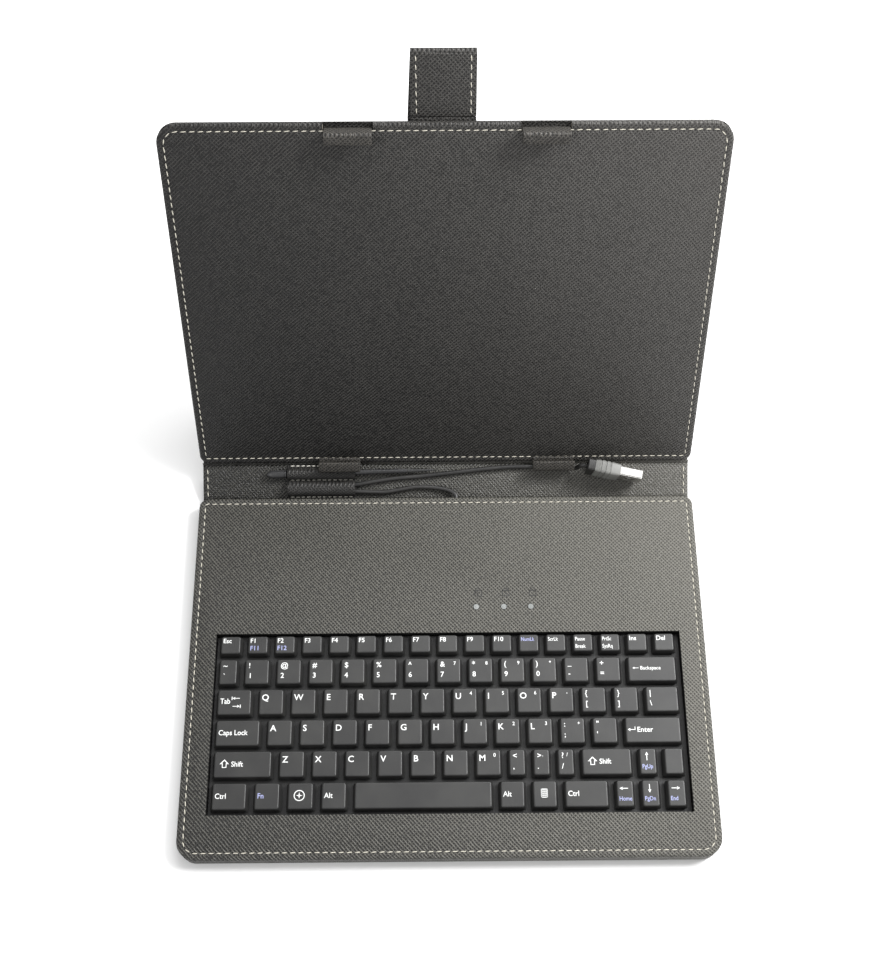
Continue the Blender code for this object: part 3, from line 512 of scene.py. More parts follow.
def outline(x, y, inset, radii, steps=8):
    """Points round a panel at an inset, starting at its front left and running anticlockwise."""
    x0, x1 = x[0] + inset, x[1] - inset
    y0, y1 = y[0] + inset, y[1] - inset
    front, back = (max(r - inset, 0.4 * MM) for r in radii)
    corners = (
        (x0 + front, y0 + front, front, math.pi), (x1 - front, y0 + front, front, 1.5 * math.pi),
        (x1 - back, y1 - back, back, 0), (x0 + back, y1 - back, back, math.pi / 2),
    )
    points = []
    for cx, cy, radius, start in corners:
        for step in range(steps + 1):
            angle = start + math.pi / 2 * step / steps
            points.append(Vector((cx + radius * math.cos(angle), cy + radius * math.sin(angle), 0)))
    return points + points[:1]


def walk(points, pitch):
    """Even steps along a line, as (place, direction)."""
    lengths = [(b - a).length for a, b in zip(points, points[1:])]
    count = max(1, round(sum(lengths) / pitch))
    step = sum(lengths) / count
    done, index = 0.0, 0
    for n in range(count):
        target = (n + 0.5) * step
        while index < len(lengths) - 1 and done + lengths[index] < target:
            done += lengths[index]
            index += 1
        a, b = points[index], points[index + 1]
        yield a.lerp(b, (target - done) / max(lengths[index], 1e-9)), (b - a).normalized()


ROD_TURN = Matrix.Rotation(math.pi / 2, 4, "Y")


def stitches(
    name, lines, frame_matrix, body, up=1.0, pitch=4.0 * MM, length=2.85 * MM, mat=THREAD,
    radius=0.27 * MM
):
    """Rows of slightly slanting stitches, each a small rounded grain half sunk in the leather."""
    bm = bmesh.new()
    for points in lines:
        for place, direction in walk(points, pitch):
            normal = Vector((0, 0, up))
            side = normal.cross(direction).normalized()
            slant = Matrix.Rotation(math.radians(5 + RANDOM.uniform(-3, 3)), 3, normal)
            basis = Matrix((direction, side, normal)).transposed()
            size = Matrix.Diagonal((length / 2 * RANDOM.uniform(0.93, 1.05), radius, radius * 0.85))
            matrix = Matrix.Translation(place) @ (slant @ basis @ size).to_4x4()
            bmesh.ops.create_uvsphere(
                bm, u_segments=7, v_segments=5, radius=1.0, matrix=matrix @ ROD_TURN
            )
    return keep(from_bmesh(name, bm, frame_matrix, 80), body, mat, "case_leather")


def lift(points, z):
    return [Vector((p.x, p.y, z)) for p in points]


CORNER_STEPS = 5


def rounded_path(points, radius):
    """A line through (y, z) points with its corners rounded."""
    line = [Vector(points[0])]
    for before, corner, after in zip(points, points[1:], points[2:]):
        before, corner, after = Vector(before), Vector(corner), Vector(after)
        reach = min(radius, (before - corner).length / 2, (after - corner).length / 2)
        a = corner + (before - corner).normalized() * reach
        b = corner + (after - corner).normalized() * reach
        for step in range(CORNER_STEPS + 1):
            f = step / CORNER_STEPS
            line.append(a * (1 - f) ** 2 + corner * 2 * f * (1 - f) + b * f**2)
    return line + [Vector(points[-1])]


def bent_strip(name, path, x, thickness, matrix, offset=0.0, round_edge=0.25 * MM, across=12):
    """A strip of leather along X, bent through (y, z) points, with softened edges."""
    bm = bmesh.new()
    rows = []
    for point in path:
        rows.append([bm.verts.new((x[0] + (x[1] - x[0]) * i / across, point[0], point[1])) for i in range(across + 1)])
    for near, far in zip(rows, rows[1:]):
        for i in range(across):
            bm.faces.new((near[i], near[i + 1], far[i + 1], far[i]))
    obj = from_bmesh(name, bm, matrix)
    solid = obj.modifiers.new("thickness", "SOLIDIFY")
    solid.thickness = thickness
    solid.offset = offset
    soften = obj.modifiers.new("soften", "BEVEL")
    soften.width = round_edge
    soften.segments = 2
    soften.limit_method = "ANGLE"
    soften.angle_limit = math.radians(50)
    apply_modifiers(obj)
    obj.data.shade_smooth()
    obj.data.set_sharp_from_angle(angle=math.radians(50))
    return obj


TURNED_SEGMENTS = 40


def turned(name, profile, matrix):
    """A solid of revolution about X from (distance, radius) pairs."""
    bm = bmesh.new()
    rings = []
    for along, radius in profile:
        ring = []
        for n in range(TURNED_SEGMENTS):
            angle = 2 * math.pi * n / TURNED_SEGMENTS
            ring.append(bm.verts.new((along, radius * math.cos(angle), radius * math.sin(angle))))
        rings.append(ring)
    for near, far in zip(rings, rings[1:]):
        for n in range(TURNED_SEGMENTS):
            bm.faces.new((near[n], near[n - 1], far[n - 1], far[n]))
    bm.faces.new(rings[0])
    bm.faces.new(rings[-1])
    return from_bmesh(name, bm, matrix, 40)


# Camera, light and floor


def make_stage():
    camera_data = bpy.data.cameras.new("camera")
    camera_data.lens = CAMERA_LENS
    camera_data.sensor_width = 36
    camera_data.shift_y = CAMERA_SHIFT
    camera_data.clip_start = 0.01
    camera = add_object("camera", camera_data)
    camera.location = CAMERA_PLACE
    camera.rotation_euler = CAMERA_TURN
    bpy.context.scene.camera = camera

    world = bpy.data.worlds.new("studio")
    bpy.context.scene.world = world
    world.use_nodes = True
    background = world.node_tree.nodes["Background"]
    background.inputs["Color"].default_value = (1, 1, 1, 1)
    background.inputs["Strength"].default_value = WORLD_STRENGTH
    for name, place, size, power in LIGHTS:
        data = bpy.data.lights.new(name, "AREA")
        data.size = size
        data.energy = power
        light = add_object(name, data)
        light.location = place
        aim = Vector(LIGHT_TARGET) - Vector(place)
        light.rotation_euler = aim.to_track_quat("-Z", "Y").to_euler()

    bm = bmesh.new()
    bmesh.ops.create_grid(bm, x_segments=1, y_segments=1, size=FLOOR_HALF)
    floor = from_bmesh("floor", bm, Matrix.Translation((0, 0, -FLOOR_DROP)))
    mat, _ = principled("pale_floor", (0.92, 0.92, 0.92), 0.8)
    floor.data.materials.append(mat)
    bpy.context.scene.view_settings.view_transform = "Standard"


# Cable and plug


def spine_point(x, s, t):
    return SPINE_FRAME @ Vector((x, s, t - HINGE_DEPTH))


def plug_frame():
    turn = Matrix.Rotation(SPINE_ANGLE, 4, "X") @ Matrix.Rotation(PLUG_YAW, 4, "Z")
    turn = turn @ Matrix.Rotation(PLUG_LEAN, 4, "X")
    turn.translation = spine_point(*PLUG_PLACE)
    return turn


PLUG_FRAME = plug_frame()


def cable_line():
    points = [CABLE_EXIT, CABLE_EXIT + Vector((0, 1.5 * MM, 0.1 * MM))]
    points += [spine_point(x * MM, s * MM, t * MM) for x, s, t in CABLE_ROUTE]
    half = PLUG_BODY[0] / 2
    points += [
        PLUG_FRAME @ Vector((-half - 3 * MM, 0, 0)), PLUG_FRAME @ Vector((-half - GAP, 0, 0))
    ]
    ends = [2 * points[0] - points[1]] + points + [2 * points[-1] - points[-2]]
    line = []
    for a, b, c, d in zip(ends, ends[1:], ends[2:], ends[3:]):
        for step in range(CABLE_STEPS):
            f = step / CABLE_STEPS
            square, cube = 2 * a - 5 * b + 4 * c - d, 3 * b - a - 3 * c + d
            line.append(0.5 * (2 * b + (c - a) * f + square * f**2 + cube * f**3))
    return line + [points[-1]]


def make_cable(plug_pieces):
    line = cable_line()
    data = bpy.data.curves.new("cable_jacket", "CURVE")
    data.dimensions = "3D"
    data.bevel_depth = CABLE_DIAMETER / 2
    data.bevel_resolution = 5
    data.use_fill_caps = True
    spline = data.splines.new("POLY")
    spline.points.add(len(line) - 1)
    for point, place in zip(spline.points, line):
        point.co = (*place, 1)
    spline.use_smooth = True
    cable = add_object("cable_jacket_piece", data)
    keep(cable, "spine", CABLE_RUBBER, "cable_rubber", "usb_cable")
    length = sum((b - a).length for a, b in zip(line, line[1:]))


def plug_block(name, x, mat, node=None, grooves=()):
    """A rounded block across the plug's body, with finger grooves round it."""
    half_y, half_z = PLUG_BODY[1] / 2, PLUG_BODY[2] / 2
    bm = bmesh.new()
    cuts = sorted([x[0], x[1]] + [g + d * MM for g in grooves for d in (-0.5, -0.2, 0.2, 0.5)])
    for index, along in enumerate(cuts):
        ring = []
        sunk = 0.35 * MM if grooves and any(abs(along - g) < 0.3 * MM for g in grooves) else 0.0
        end = 0.5 * MM if index in (0, len(cuts) - 1) else 0.0
        corners = (PLUG_CORNER, PLUG_CORNER)
        for point in outline((-half_y, half_y), (-half_z, half_z), sunk + end, corners, 5)[:-1]:
            ring.append(bm.verts.new((along, point.x, point.y)))
        if index:
            for n in range(len(ring)):
                bm.faces.new((last[n - 1], last[n], ring[n], ring[n - 1]))
        else:
            bm.faces.new(ring)
        last = ring
    bm.faces.new(last)
    obj = from_bmesh(name, bm, PLUG_FRAME, 40)
    return keep(
        obj, "spine", mat, "plug_grey" if node else "cable_rubber", *([node] if node else [])
    )


def make_plug():
    half = PLUG_BODY[0] / 2
    body = plug_block(
        "plug_overmould_piece", (-half + PLUG_REAR_LENGTH + 0.2 * MM, half), PLUG_GREY,
        "usb_plug_body",
        [groove - half for groove in PLUG_GROOVES],
    )
    rear = plug_block("plug_rear_piece", (-half, -half + PLUG_REAR_LENGTH), CABLE_RUBBER)
    start = half + GAP
    tip = start + PLUG_SHELL[0]
    hy, hz = PLUG_SHELL[1] / 2, PLUG_SHELL[2] / 2
    bm = bmesh.new()
    add_box(bm, (start - 0.2 * MM, tip), (-hy, hy), (-hz, hz))
    bmesh.ops.bevel(
        bm, geom=[e for e in bm.edges if runs_along(e, 0)], offset=0.5 * MM, segments=3,
        affect="EDGES",
    )
    shell = from_bmesh("plug_shell_piece", bm, PLUG_FRAME)
    hollow = (
        (start + 0.8 * MM, start + 20 * MM),
        (SHELL_WALL - hy, hy - SHELL_WALL), (SHELL_WALL - hz, hz - SHELL_WALL),
    )
    holes = [
        ((start + 4.2 * MM, start + 6.4 * MM), (-9 * MM, 9 * MM), (z - 1.1 * MM, z + 1.1 * MM))
        for z in SHELL_WINDOWS
    ]
    cut(shell, [hollow] + holes, PLUG_FRAME)
    keep(shell, "spine", PLATED, "steel", "usb_plug_shell")
    bm = bmesh.new()
    inside = 0.7 * MM
    add_box(
        bm, (start + 1.0 * MM, tip - 0.6 * MM), (inside - hy, -0.1 * MM), (inside - hz, hz - inside)
    )
    bmesh.ops.bevel(bm, geom=bm.edges[:], offset=0.15 * MM, segments=2, affect="EDGES")
    tongue = from_bmesh("plug_tongue_piece", bm, PLUG_FRAME)
    keep(tongue, "spine", TRAY_PLASTIC, "module_plastic", "usb_plug_tongue")
    bm = bmesh.new()
    for z in CONTACTS:
        long = (start + 2.5 * MM, tip - 1.2 * MM)
        add_box(bm, long, (-0.15 * MM, 0.0), (z - 0.5 * MM, z + 0.5 * MM))
    contacts = from_bmesh("plug_contacts", bm, PLUG_FRAME)
    keep(contacts, "spine", metal("gold_contacts", (0.85, 0.62, 0.25), 0.3), "steel")
    return [body, rear, shell, tongue, contacts]


# Base


BASE_X = (-WIDTH / 2, WIDTH / 2)
BASE_Y = (-DEPTH / 2, DEPTH / 2)
BASE_RADII = (OUTER_CORNER, INNER_CORNER)
LID_U = (LID_START, LID_END)
LID_RADII = (INNER_CORNER, OUTER_CORNER)
LENS_X = (15.4 * MM, 30.0 * MM, 44.3 * MM)
LENS_Y = 33.4 * MM
LENS_HOLE = 1.75 * MM
CABLE_HOLE = 2.6 * MM
ICON_Y = 41.6 * MM
ICON_SHIFT = 1.2 * MM


def inset_range(pair, inset):
    return (pair[0] + inset, pair[1] - inset)


def make_base():
    bm = panel_bmesh(BASE_X, BASE_Y, (0, BASE_HEIGHT), BASE_RADII, 1.5 * MM, 0.28 * MM)
    skin = from_bmesh("base_leather", bm)
    wall = LEATHER + 0.1 * MM
    cut(skin, [
        (inset_range(BASE_X, wall), inset_range(BASE_Y, wall), (LEATHER, BASE_HEIGHT - LEATHER)),
        (WELL_X, WELL_Y, (5 * MM, 20 * MM)),
    ])
    bm = bmesh.new()
    rods = [(LENS_HOLE, 6 * MM, Matrix.Translation((x, LENS_Y, BASE_HEIGHT))) for x in LENS_X]
    back = Matrix.Translation(CABLE_EXIT) @ Matrix.Rotation(math.pi / 2, 4, "X")
    for radius, depth, matrix in rods + [(CABLE_HOLE, 9 * MM, back)]:
        bmesh.ops.create_cone(
            bm, cap_ends=True, segments=32, radius1=radius, radius2=radius, depth=depth,
            matrix=matrix
        )
    cutter = from_bmesh("round_holes", bm)
    mod = skin.modifiers.new("holes", "BOOLEAN")
    mod.object = cutter
    apply_modifiers(skin)
    bpy.data.objects.remove(cutter, do_unlink=True)
    skin.data.set_sharp_from_angle(angle=math.radians(35))
    keep(skin, "base", LEATHER_FLAT, "case_leather", "base_outer_cover", "base_liner_panel")
    line = outline(BASE_X, BASE_Y, STITCH_INSET, BASE_RADII)
    stitches("base_stitches", [lift(line, BASE_HEIGHT - 0.12 * MM)], BASE_FRAME, "base")
    stitches("base_under_stitches", [lift(line, 0.3 * MM)], BASE_FRAME, "base", -1.0)


def make_indicators():
    bm = bmesh.new()
    dome = Matrix.Diagonal((1.2 * MM, 1.2 * MM, 0.3 * MM, 1))
    for x in LENS_X:
        place = Matrix.Translation((x, LENS_Y, BASE_HEIGHT - 0.1 * MM))
        bmesh.ops.create_uvsphere(bm, u_segments=24, v_segments=10, radius=1.0, matrix=place @ dome)
    keep(from_bmesh("indicator_domes", bm), "base", LENS_MILKY, "lens")
    icons = []
    for x, mark in zip(LENS_X, "1A"):
        icons += padlock(x + ICON_SHIFT, ICON_Y, mark)
    icons += padlock(LENS_X[2] + ICON_SHIFT, ICON_Y, "")
    join_prints("indicator_icons", icons, "base", PRINT_GREY)


def padlock(x, y, mark):
    """A padlock outline with a mark in it."""
    z = BASE_HEIGHT + 0.06 * MM
    bm = bmesh.new()
    for x0, x1, y0, y1 in (
        (-2, 2, -0.4, 0.05), (-2, 2, 2.6, 3.05), (-2, -1.6, 0, 3), (1.6, 2, 0, 3)
    ):
        up = (y + y0 * MM - 2 * MM, y + y1 * MM - 2 * MM)
        add_box(bm, (x + x0 * MM, x + x1 * MM), up, (z - 0.05 * MM, z))
    steps = 10
    for n in range(steps):
        low, high = (math.pi * k / steps for k in (n, n + 1))
        corners = ((low, 1.05), (high, 1.05), (high, 1.4), (low, 1.4))
        ring = [(math.cos(a) * r, math.sin(a) * r) for a, r in corners]
        bm.faces.new([bm.verts.new((x + px * MM, y + py * MM + 1.05 * MM, z)) for px, py in ring])
    pieces = [from_bmesh("lock", bm)]
    if mark:
        pieces.append(text_piece(mark, x - 0.7 * MM, y - 1.6 * MM, z, 1.9 * MM))
    return pieces


# Keys and their print


def key_places():
    for row, runs in enumerate(KEY_ROWS):
        widths = [w * MM for _, run, _ in runs for w in run]
        names = [(node, label) for node, run, labels in runs for _, label in zip(run, labels)]
        gap = (ROW_WIDTH - sum(widths)) / (len(widths) - 1)
        y = TOP_ROW_Y if row == 0 else FIRST_ROW_Y - (row - 1) * ROW_PITCH
        depth = TOP_ROW_DEPTH if row == 0 else ROW_DEPTH
        x = ROW_START
        for (node, label), width in zip(names, widths):
            yield node, label, row, x + width / 2, y, width, depth
            x += width + gap


def add_cap(bm, x, y, width, depth):
    """A cap with sloping sides, rounded corners and a softened top edge."""
    solid = bmesh.new()
    half = (width / 2, depth / 2)
    verts = add_box(solid, (-half[0], half[0]), (-half[1], half[1]), (CAP_BOTTOM, CAP_TOP))
    for v in verts:
        if v.co.z > CAP_BOTTOM + GAP:
            v.co.x -= math.copysign(CAP_SIDE_SLOPE, v.co.x)
            v.co.y += CAP_FRONT_SLOPE if v.co.y < 0 else -CAP_BACK_SLOPE
    rising = [e for e in solid.edges if abs(e.verts[0].co.z - e.verts[1].co.z) > GAP]
    bmesh.ops.bevel(solid, geom=rising, offset=1.0 * MM, segments=4, profile=0.5, affect="EDGES")
    rim = [e for e in solid.edges if all(v.co.z > CAP_TOP - 0.01 * MM for v in e.verts)]
    bmesh.ops.bevel(solid, geom=rim, offset=0.42 * MM, segments=3, profile=0.5, affect="EDGES")
    roof = max(solid.faces, key=lambda f: f.calc_center_median().z)
    bmesh.ops.inset_region(solid, faces=[roof], thickness=0.3 * MM)
    bmesh.ops.translate(solid, verts=solid.verts, vec=(x, y, 0))
    mesh = bpy.data.meshes.new("cap")
    solid.to_mesh(mesh)
    solid.free()
    bm.from_mesh(mesh)
    bpy.data.meshes.remove(mesh)


CAPITAL_SHARE = 0.73  # a capital's height over the font's size
PRINT_SWELL = 0.014  # how far print spreads, over its height


def text_piece(words, x, y, z, height, squeeze=1.0):
    """Printed words from x on, with their baseline on y; height is that of a capital."""
    data = bpy.data.curves.new("words", "FONT")
    data.body = words
    data.size = height / CAPITAL_SHARE
    data.offset = PRINT_SWELL * height
    data.resolution_u = 3
    obj = add_object("words", data)
    bpy.context.view_layer.update()
    graph = bpy.context.evaluated_depsgraph_get()
    mesh = bpy.data.meshes.new_from_object(obj.evaluated_get(graph))
    bpy.data.objects.remove(obj, do_unlink=True)
    bpy.data.curves.remove(data)
    mesh.transform(Matrix.Translation((x, y, z)) @ Matrix.Diagonal((squeeze, 1, 1, 1)))
    return add_object("words", mesh)


def join_prints(name, pieces, body, mat):
    """One piece from many bits of print."""
    bm = bmesh.new()
    for piece in pieces:
        bm.from_mesh(piece.data)
        bpy.data.objects.remove(piece, do_unlink=True)
    return keep(from_bmesh_as_is(name, bm), body, mat, "key_caps")


def from_bmesh_as_is(name, bm):
    mesh = bpy.data.meshes.new(name)
    bm.to_mesh(mesh)
    bm.free()
    return add_object(name, mesh)


def symbol(shape, x, y, z, turn=0.0, size=1.0):
    """A flat printed shape from outlines in millimetres."""
    bm = bmesh.new()
    matrix = Matrix.Translation((x, y, z)) @ Matrix.Rotation(
        turn, 4, "Z"
    ) @ Matrix.Scale(size * MM, 4)
    for face in shape:
        bm.faces.new([bm.verts.new(matrix @ Vector((*point, 0))) for point in face])
    return from_bmesh_as_is("symbol", bm)


ARROW = (
    ((-2.4, -0.22), (1.2, -0.22), (1.2, 0.22), (-2.4, 0.22)), ((0.8, -0.95), (2.6, 0), (0.8, 0.95))
)
BAR = (((-0.2, -0.9), (0.2, -0.9), (0.2, 0.9), (-0.2, 0.9)),)
HOLLOW_ARROW = (
    ((-2.5, 0.2), (0, 2.7), (0, 2.0), (-1.4, 0.6)), ((2.5, 0.2), (1.4, 0.6), (0, 2.0), (0, 2.7)),
    ((-2.5, 0.2), (-1.4, 0.6), (-0.8, 0.6), (-1.2, 0.2)),
    ((2.5, 0.2), (1.2, 0.2), (0.8, 0.6), (1.4, 0.6)),
    ((-1.2, 0.2), (-0.8, 0.6), (-0.8, -1.4), (-1.2, -1.8)),
    ((1.2, 0.2), (1.2, -1.8), (0.8, -1.4), (0.8, 0.6)),
    ((-1.2, -1.8), (-0.8, -1.4), (0.8, -1.4), (1.2, -1.8)),
)
RETURN_ARROW = (
    ((-1.2, -0.2), (1.6, -0.2), (1.6, 0.15), (-1.2, 0.15)),
    ((1.25, 0.15), (1.6, 0.15), (1.6, 1.5), (1.25, 1.5)),
    ((-1.0, -0.85), (-1.0, 0.8), (-2.3, 0)),
)
LIST_ICON = tuple(
    ((-1.7, y), (1.7, y), (1.7, y + 0.42), (-1.7, y + 0.42)) for y in (-2.2, -1.2, -0.2, 0.8, 1.8)
) + (((-1.7, -2.2), (-1.3, -2.2), (-1.3, 2.2), (-1.7, 2.2)),
((1.3, -2.2), (1.7, -2.2), (1.7, 2.2), (1.3, 2.2)))


def ring_icon():
    """A plain ring round a four-pointed spark."""
    faces = []
    for n in range(28):
        low, high = (2 * math.pi * k / 28 for k in (n, n + 1))
        corners = ((low, 2.3), (low, 2.75), (high, 2.75), (high, 2.3))
        faces.append([(math.cos(a) * r, math.sin(a) * r) for a, r in corners])
    for n in range(4):
        angle = math.pi / 2 * n
        tip = (1.7 * math.cos(angle), 1.7 * math.sin(angle))
        sides = [(0.45 * math.cos(angle + d), 0.45 * math.sin(angle + d)) for d in (-0.8, 0.8)]
        faces.append([(0, 0), sides[0], tip, sides[1]])
    return faces


PRINT_Z = CAP_TOP + 0.03 * MM


def print_key(label, row, x, y, width):
    """Yields (tint, piece) for what is printed on one cap."""
    left = x - width / 2 + 2.2 * MM
    if row == 0:
        for n, words in enumerate(label.split("/")):
            height, squeeze = (2.1 * MM, 0.8) if len(words) > 4 else (2.5 * MM, 1.0)
            up = y + (1.3 - 4.0 * n) * MM
            piece = text_piece(words, left - 0.3 * MM, up, PRINT_Z, height, squeeze)
            yield words in BLUE_WORDS, piece
    elif label in ("Tab", "Backspace", "Enter", "Shift"):
        yield from print_wide(label, left, y)
    elif label == "system":
        yield False, symbol(ring_icon(), x - 0.6 * MM, y + 0.4 * MM, PRINT_Z)
    elif label == "menu":
        yield False, symbol(LIST_ICON, x - 0.3 * MM, y + 0.6 * MM, PRINT_Z)
    elif "/" in label and len(label) > 3 and " " not in label:
        way, words = label.split("/")
        yield False, symbol(ARROW, x - 0.5 * MM, y + 2.7 * MM, PRINT_Z, ARROW_TURNS[way], 0.85)
        yield True, text_piece(
            words, x - width / 2 + 2.0 * MM, y - 3.4 * MM, PRINT_Z, 2.2 * MM, 0.85
        )
    elif len(label) > 1 and " " not in label or label == "Caps Lock":
        yield label in BLUE_WORDS, text_piece(label, left, y - 0.9 * MM, PRINT_Z, 2.75 * MM, 0.92)
    elif label:
        yield from print_letters(label.split(" "), left, y, x + width / 2)


def print_wide(label, left, y):
    """What is printed on a wide cap."""
    if label == "Tab":
        yield False, text_piece(label, left, y - 0.6 * MM, PRINT_Z, 2.9 * MM, 0.85)
        for up, turn in ((2.2 * MM, math.pi), (-2.0 * MM, 0)):
            yield False, symbol(ARROW, left + 8.2 * MM, y + up, PRINT_Z, turn, 0.75)
            side = -1 if turn else 1
            yield False, symbol(BAR, left + (8.2 + side * 2.2) * MM, y + up, PRINT_Z)
    elif label == "Shift":
        yield False, symbol(HOLLOW_ARROW, left + 3.9 * MM, y + 0.2 * MM, PRINT_Z, 0, 0.95)
        yield False, text_piece(label, left + 7.3 * MM, y - 0.9 * MM, PRINT_Z, 2.7 * MM, 0.92)
    elif label == "Backspace":
        yield False, symbol(ARROW, left + 2.6 * MM, y + 0.7 * MM, PRINT_Z, math.pi, 0.65)
        yield False, text_piece(label, left + 4.9 * MM, y - 0.2 * MM, PRINT_Z, 2.0 * MM, 0.95)
    else:
        yield False, symbol(RETURN_ARROW, left + 2.2 * MM, y + 0.4 * MM, PRINT_Z)
        yield False, text_piece(label, left + 4.6 * MM, y - 0.8 * MM, PRINT_Z, 2.7 * MM, 1.0)


def print_letters(marks, left, y, right):
    """A letter or a symbol near the back of a cap, a second below it, a third in the corner."""
    if marks[0].isalpha():
        yield False, text_piece(marks[0], left, y + 1.0 * MM, PRINT_Z, 3.3 * MM)
    else:
        yield False, text_piece(marks[0], left + 0.5 * MM, y + 2.2 * MM, PRINT_Z, 2.9 * MM)
    if len(marks) > 1 and marks[1]:
        yield False, text_piece(marks[1], left + 0.6 * MM, y - 3.2 * MM, PRINT_Z, 2.8 * MM)
    if len(marks) > 2:
        yield False, text_piece(marks[2], right - 4.6 * MM, y + 3.1 * MM, PRINT_Z, 1.9 * MM)


def make_keys():
    groups, prints = {}, {}
    for node, label, row, x, y, width, depth in key_places():
        groups.setdefault(node, []).append((x, y, width, depth))
        for blue, piece in print_key(label, row, x, y, width):
            prints.setdefault((node, blue), []).append(piece)
    for node, caps in groups.items():
        bm = bmesh.new()
        for cap in caps:
            add_cap(bm, *cap)
        keep(from_bmesh(node + "_caps", bm, BASE_FRAME, 30), node, CAP_PLASTIC, "key_caps", node)
    for (node, blue), pieces in prints.items():
        tint = "blue" if blue else "white"
        join_prints(f"{node}_print_{tint}", pieces, node, PRINT_BLUE if blue else PRINT_WHITE)


# Spine, loops and stylus


SPINE_S = (0.6 * MM, SPINE_LENGTH - 0.85 * MM)
SPINE_HALF_WIDTH = 134 * MM
SPINE_TOP = 2.6 * MM - HINGE_DEPTH
PUCKER_SIZE = (9 * MM, 4 * MM)
PUCKER_START = 100 * MM


def make_spine():
    """The inner skin is puckered, most of all near its ends."""
    columns, rows = 150, 14
    bm = bmesh.new()
    bmesh.ops.create_grid(bm, x_segments=columns, y_segments=rows, size=0.5)
    for v in bm.verts:
        s = SPINE_S[0] + (v.co.y + 0.5) * (SPINE_S[1] - SPINE_S[0])
        x = v.co.x * 2 * SPINE_HALF_WIDTH
        near_end = max(0.0, abs(x) - PUCKER_START) / (SPINE_HALF_WIDTH - PUCKER_START)
        pucker = noise.noise(Vector((x / PUCKER_SIZE[0], s / PUCKER_SIZE[1], 0.3)))
        pucker *= 0.10 + 0.42 * near_end
        edge = min(v.co.y + 0.5, 0.5 - v.co.y, 0.5 - abs(v.co.x)) < 1e-4
        rise = -0.35 * MM if edge else min(pucker, 0.3) * MM - 0.12 * MM
        v.co = Vector((x, s, SPINE_TOP + rise))
    skin = from_bmesh("spine_inner_skin", bm, SPINE_FRAME, 80)
    solid = skin.modifiers.new("thickness", "SOLIDIFY")
    solid.thickness = 0.5 * MM
    solid.offset = -1
    apply_modifiers(skin)
    keep(skin, "spine", LEATHER_SPINE, "case_leather", "spine_liner")

    bm = panel_bmesh(
        (-SPINE_HALF_WIDTH, SPINE_HALF_WIDTH), SPINE_S, (-HINGE_DEPTH, LEATHER - HINGE_DEPTH),
        (0.5 * MM, 0.5 * MM), 0.2 * MM,
    )
    outer = from_bmesh("spine_outer_skin", bm, SPINE_FRAME)
    keep(outer, "spine", LEATHER_SPINE, "case_leather", "spine_outer_cover")
    ends = [
        [Vector((x, s, SPINE_TOP)) for s in (2 * MM, 18.5 * MM)] for x in (-131.5 * MM, 131.5 * MM)
    ]
    stitches("spine_end_stitches", ends, SPINE_FRAME, "spine")


def make_fold_skins():
    """The continuous inner skin over each fold."""
    x = (-SPINE_HALF_WIDTH, SPINE_HALF_WIDTH)
    near = SPINE_FRAME @ Vector((0, SPINE_S[0] + 0.3 * MM, SPINE_TOP - 0.3 * MM))
    far = SPINE_FRAME @ Vector((0, SPINE_S[1] - 0.3 * MM, SPINE_TOP - 0.3 * MM))
    base_edge = Vector((0, DEPTH / 2 + 0.25 * MM, 3.4 * MM))
    lid_edge = LID_FRAME @ Vector((0, LID_START - 0.2 * MM, LID_INNER - 0.9 * MM))
    for name, a, b, bodies in (
        ("base_fold_skin", base_edge, near, ("base", "spine")),
        ("lid_fold_skin", far, lid_edge, ("spine", "lid")),
    ):
        path = [(a.y + (b.y - a.y) * n / 4, a.z + (b.z - a.z) * n / 4) for n in range(5)]
        skin = bent_strip(name, path, x, 0.4 * MM, BASE_FRAME, 0, 0.1 * MM, 60)
        skin.data.materials.append(LEATHER_SPINE)
        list(bodies)
        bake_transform(skin)
        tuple(a)
        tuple(b)


LOOP_X = (-87.2 * MM, -50 * MM)
LOOP_EDGES = (1.6 * MM, 20.0 * MM)
LOOP_CHANNELS = ((7.0 * MM, 3.9 * MM, 4.2 * MM), (15.2 * MM, 2.8 * MM, 4.4 * MM))
LOOP_SEAMS = (2.3 * MM, 11.6 * MM, 19.4 * MM)


def arch(middle, half, height, floor):
    angles = [math.pi * n / 16 for n in range(17)]
    return [(middle - half * math.cos(a), floor + height * math.sin(a)) for a in angles]


def make_loops():
    floor = SPINE_TOP + GAP
    path = [(LOOP_EDGES[0], floor)]
    for channel in LOOP_CHANNELS:
        path += arch(*channel, floor)
    path.append((LOOP_EDGES[1], floor))
    patch = bent_strip("loop_leather", path, LOOP_X, 0.7 * MM, SPINE_FRAME, 1.0, 0.15 * MM, 24)
    keep(patch, "spine", LEATHER_LOOPS, "case_leather", "loop_patch")
    rows = [[Vector((x, s, floor + 0.8 * MM)) for x in (-86 * MM, -51 * MM)] for s in LOOP_SEAMS]
    stitches("loop_stitches", rows, SPINE_FRAME, "spine", 1.0, 2.9 * MM, 2.3 * MM, THREAD_BRIGHT)


STYLUS_START = (-98.7 * MM, 14.8 * MM, 5.25 * MM - HINGE_DEPTH)
STYLUS_TURN = math.radians(1.25)
# Profiles as (distance, radius) in millimetres
STYLUS_CAP = (
    (0, 0.5), (0.4, 1.1), (1.0, 1.6), (2.2, 2.15), (3.2, 2.3), (9.4, 2.3), (9.6, 2.1), (10.0, 2.1),
    (10.2, 2.3), (10.9, 2.25), (11.1, 1.9),
)
STYLUS_BARREL = ((11.4, 1.6), (11.8, 1.7), (30, 1.62), (60, 1.4), (76.5, 1.27), (77.5, 1.15))
STYLUS_TIP = (
    (77.8, 1.1), (78.4, 1.15), (84, 0.95), (90.4, 0.68), (91.6, 0.55), (92.3, 0.3), (92.4, 0.12)
)


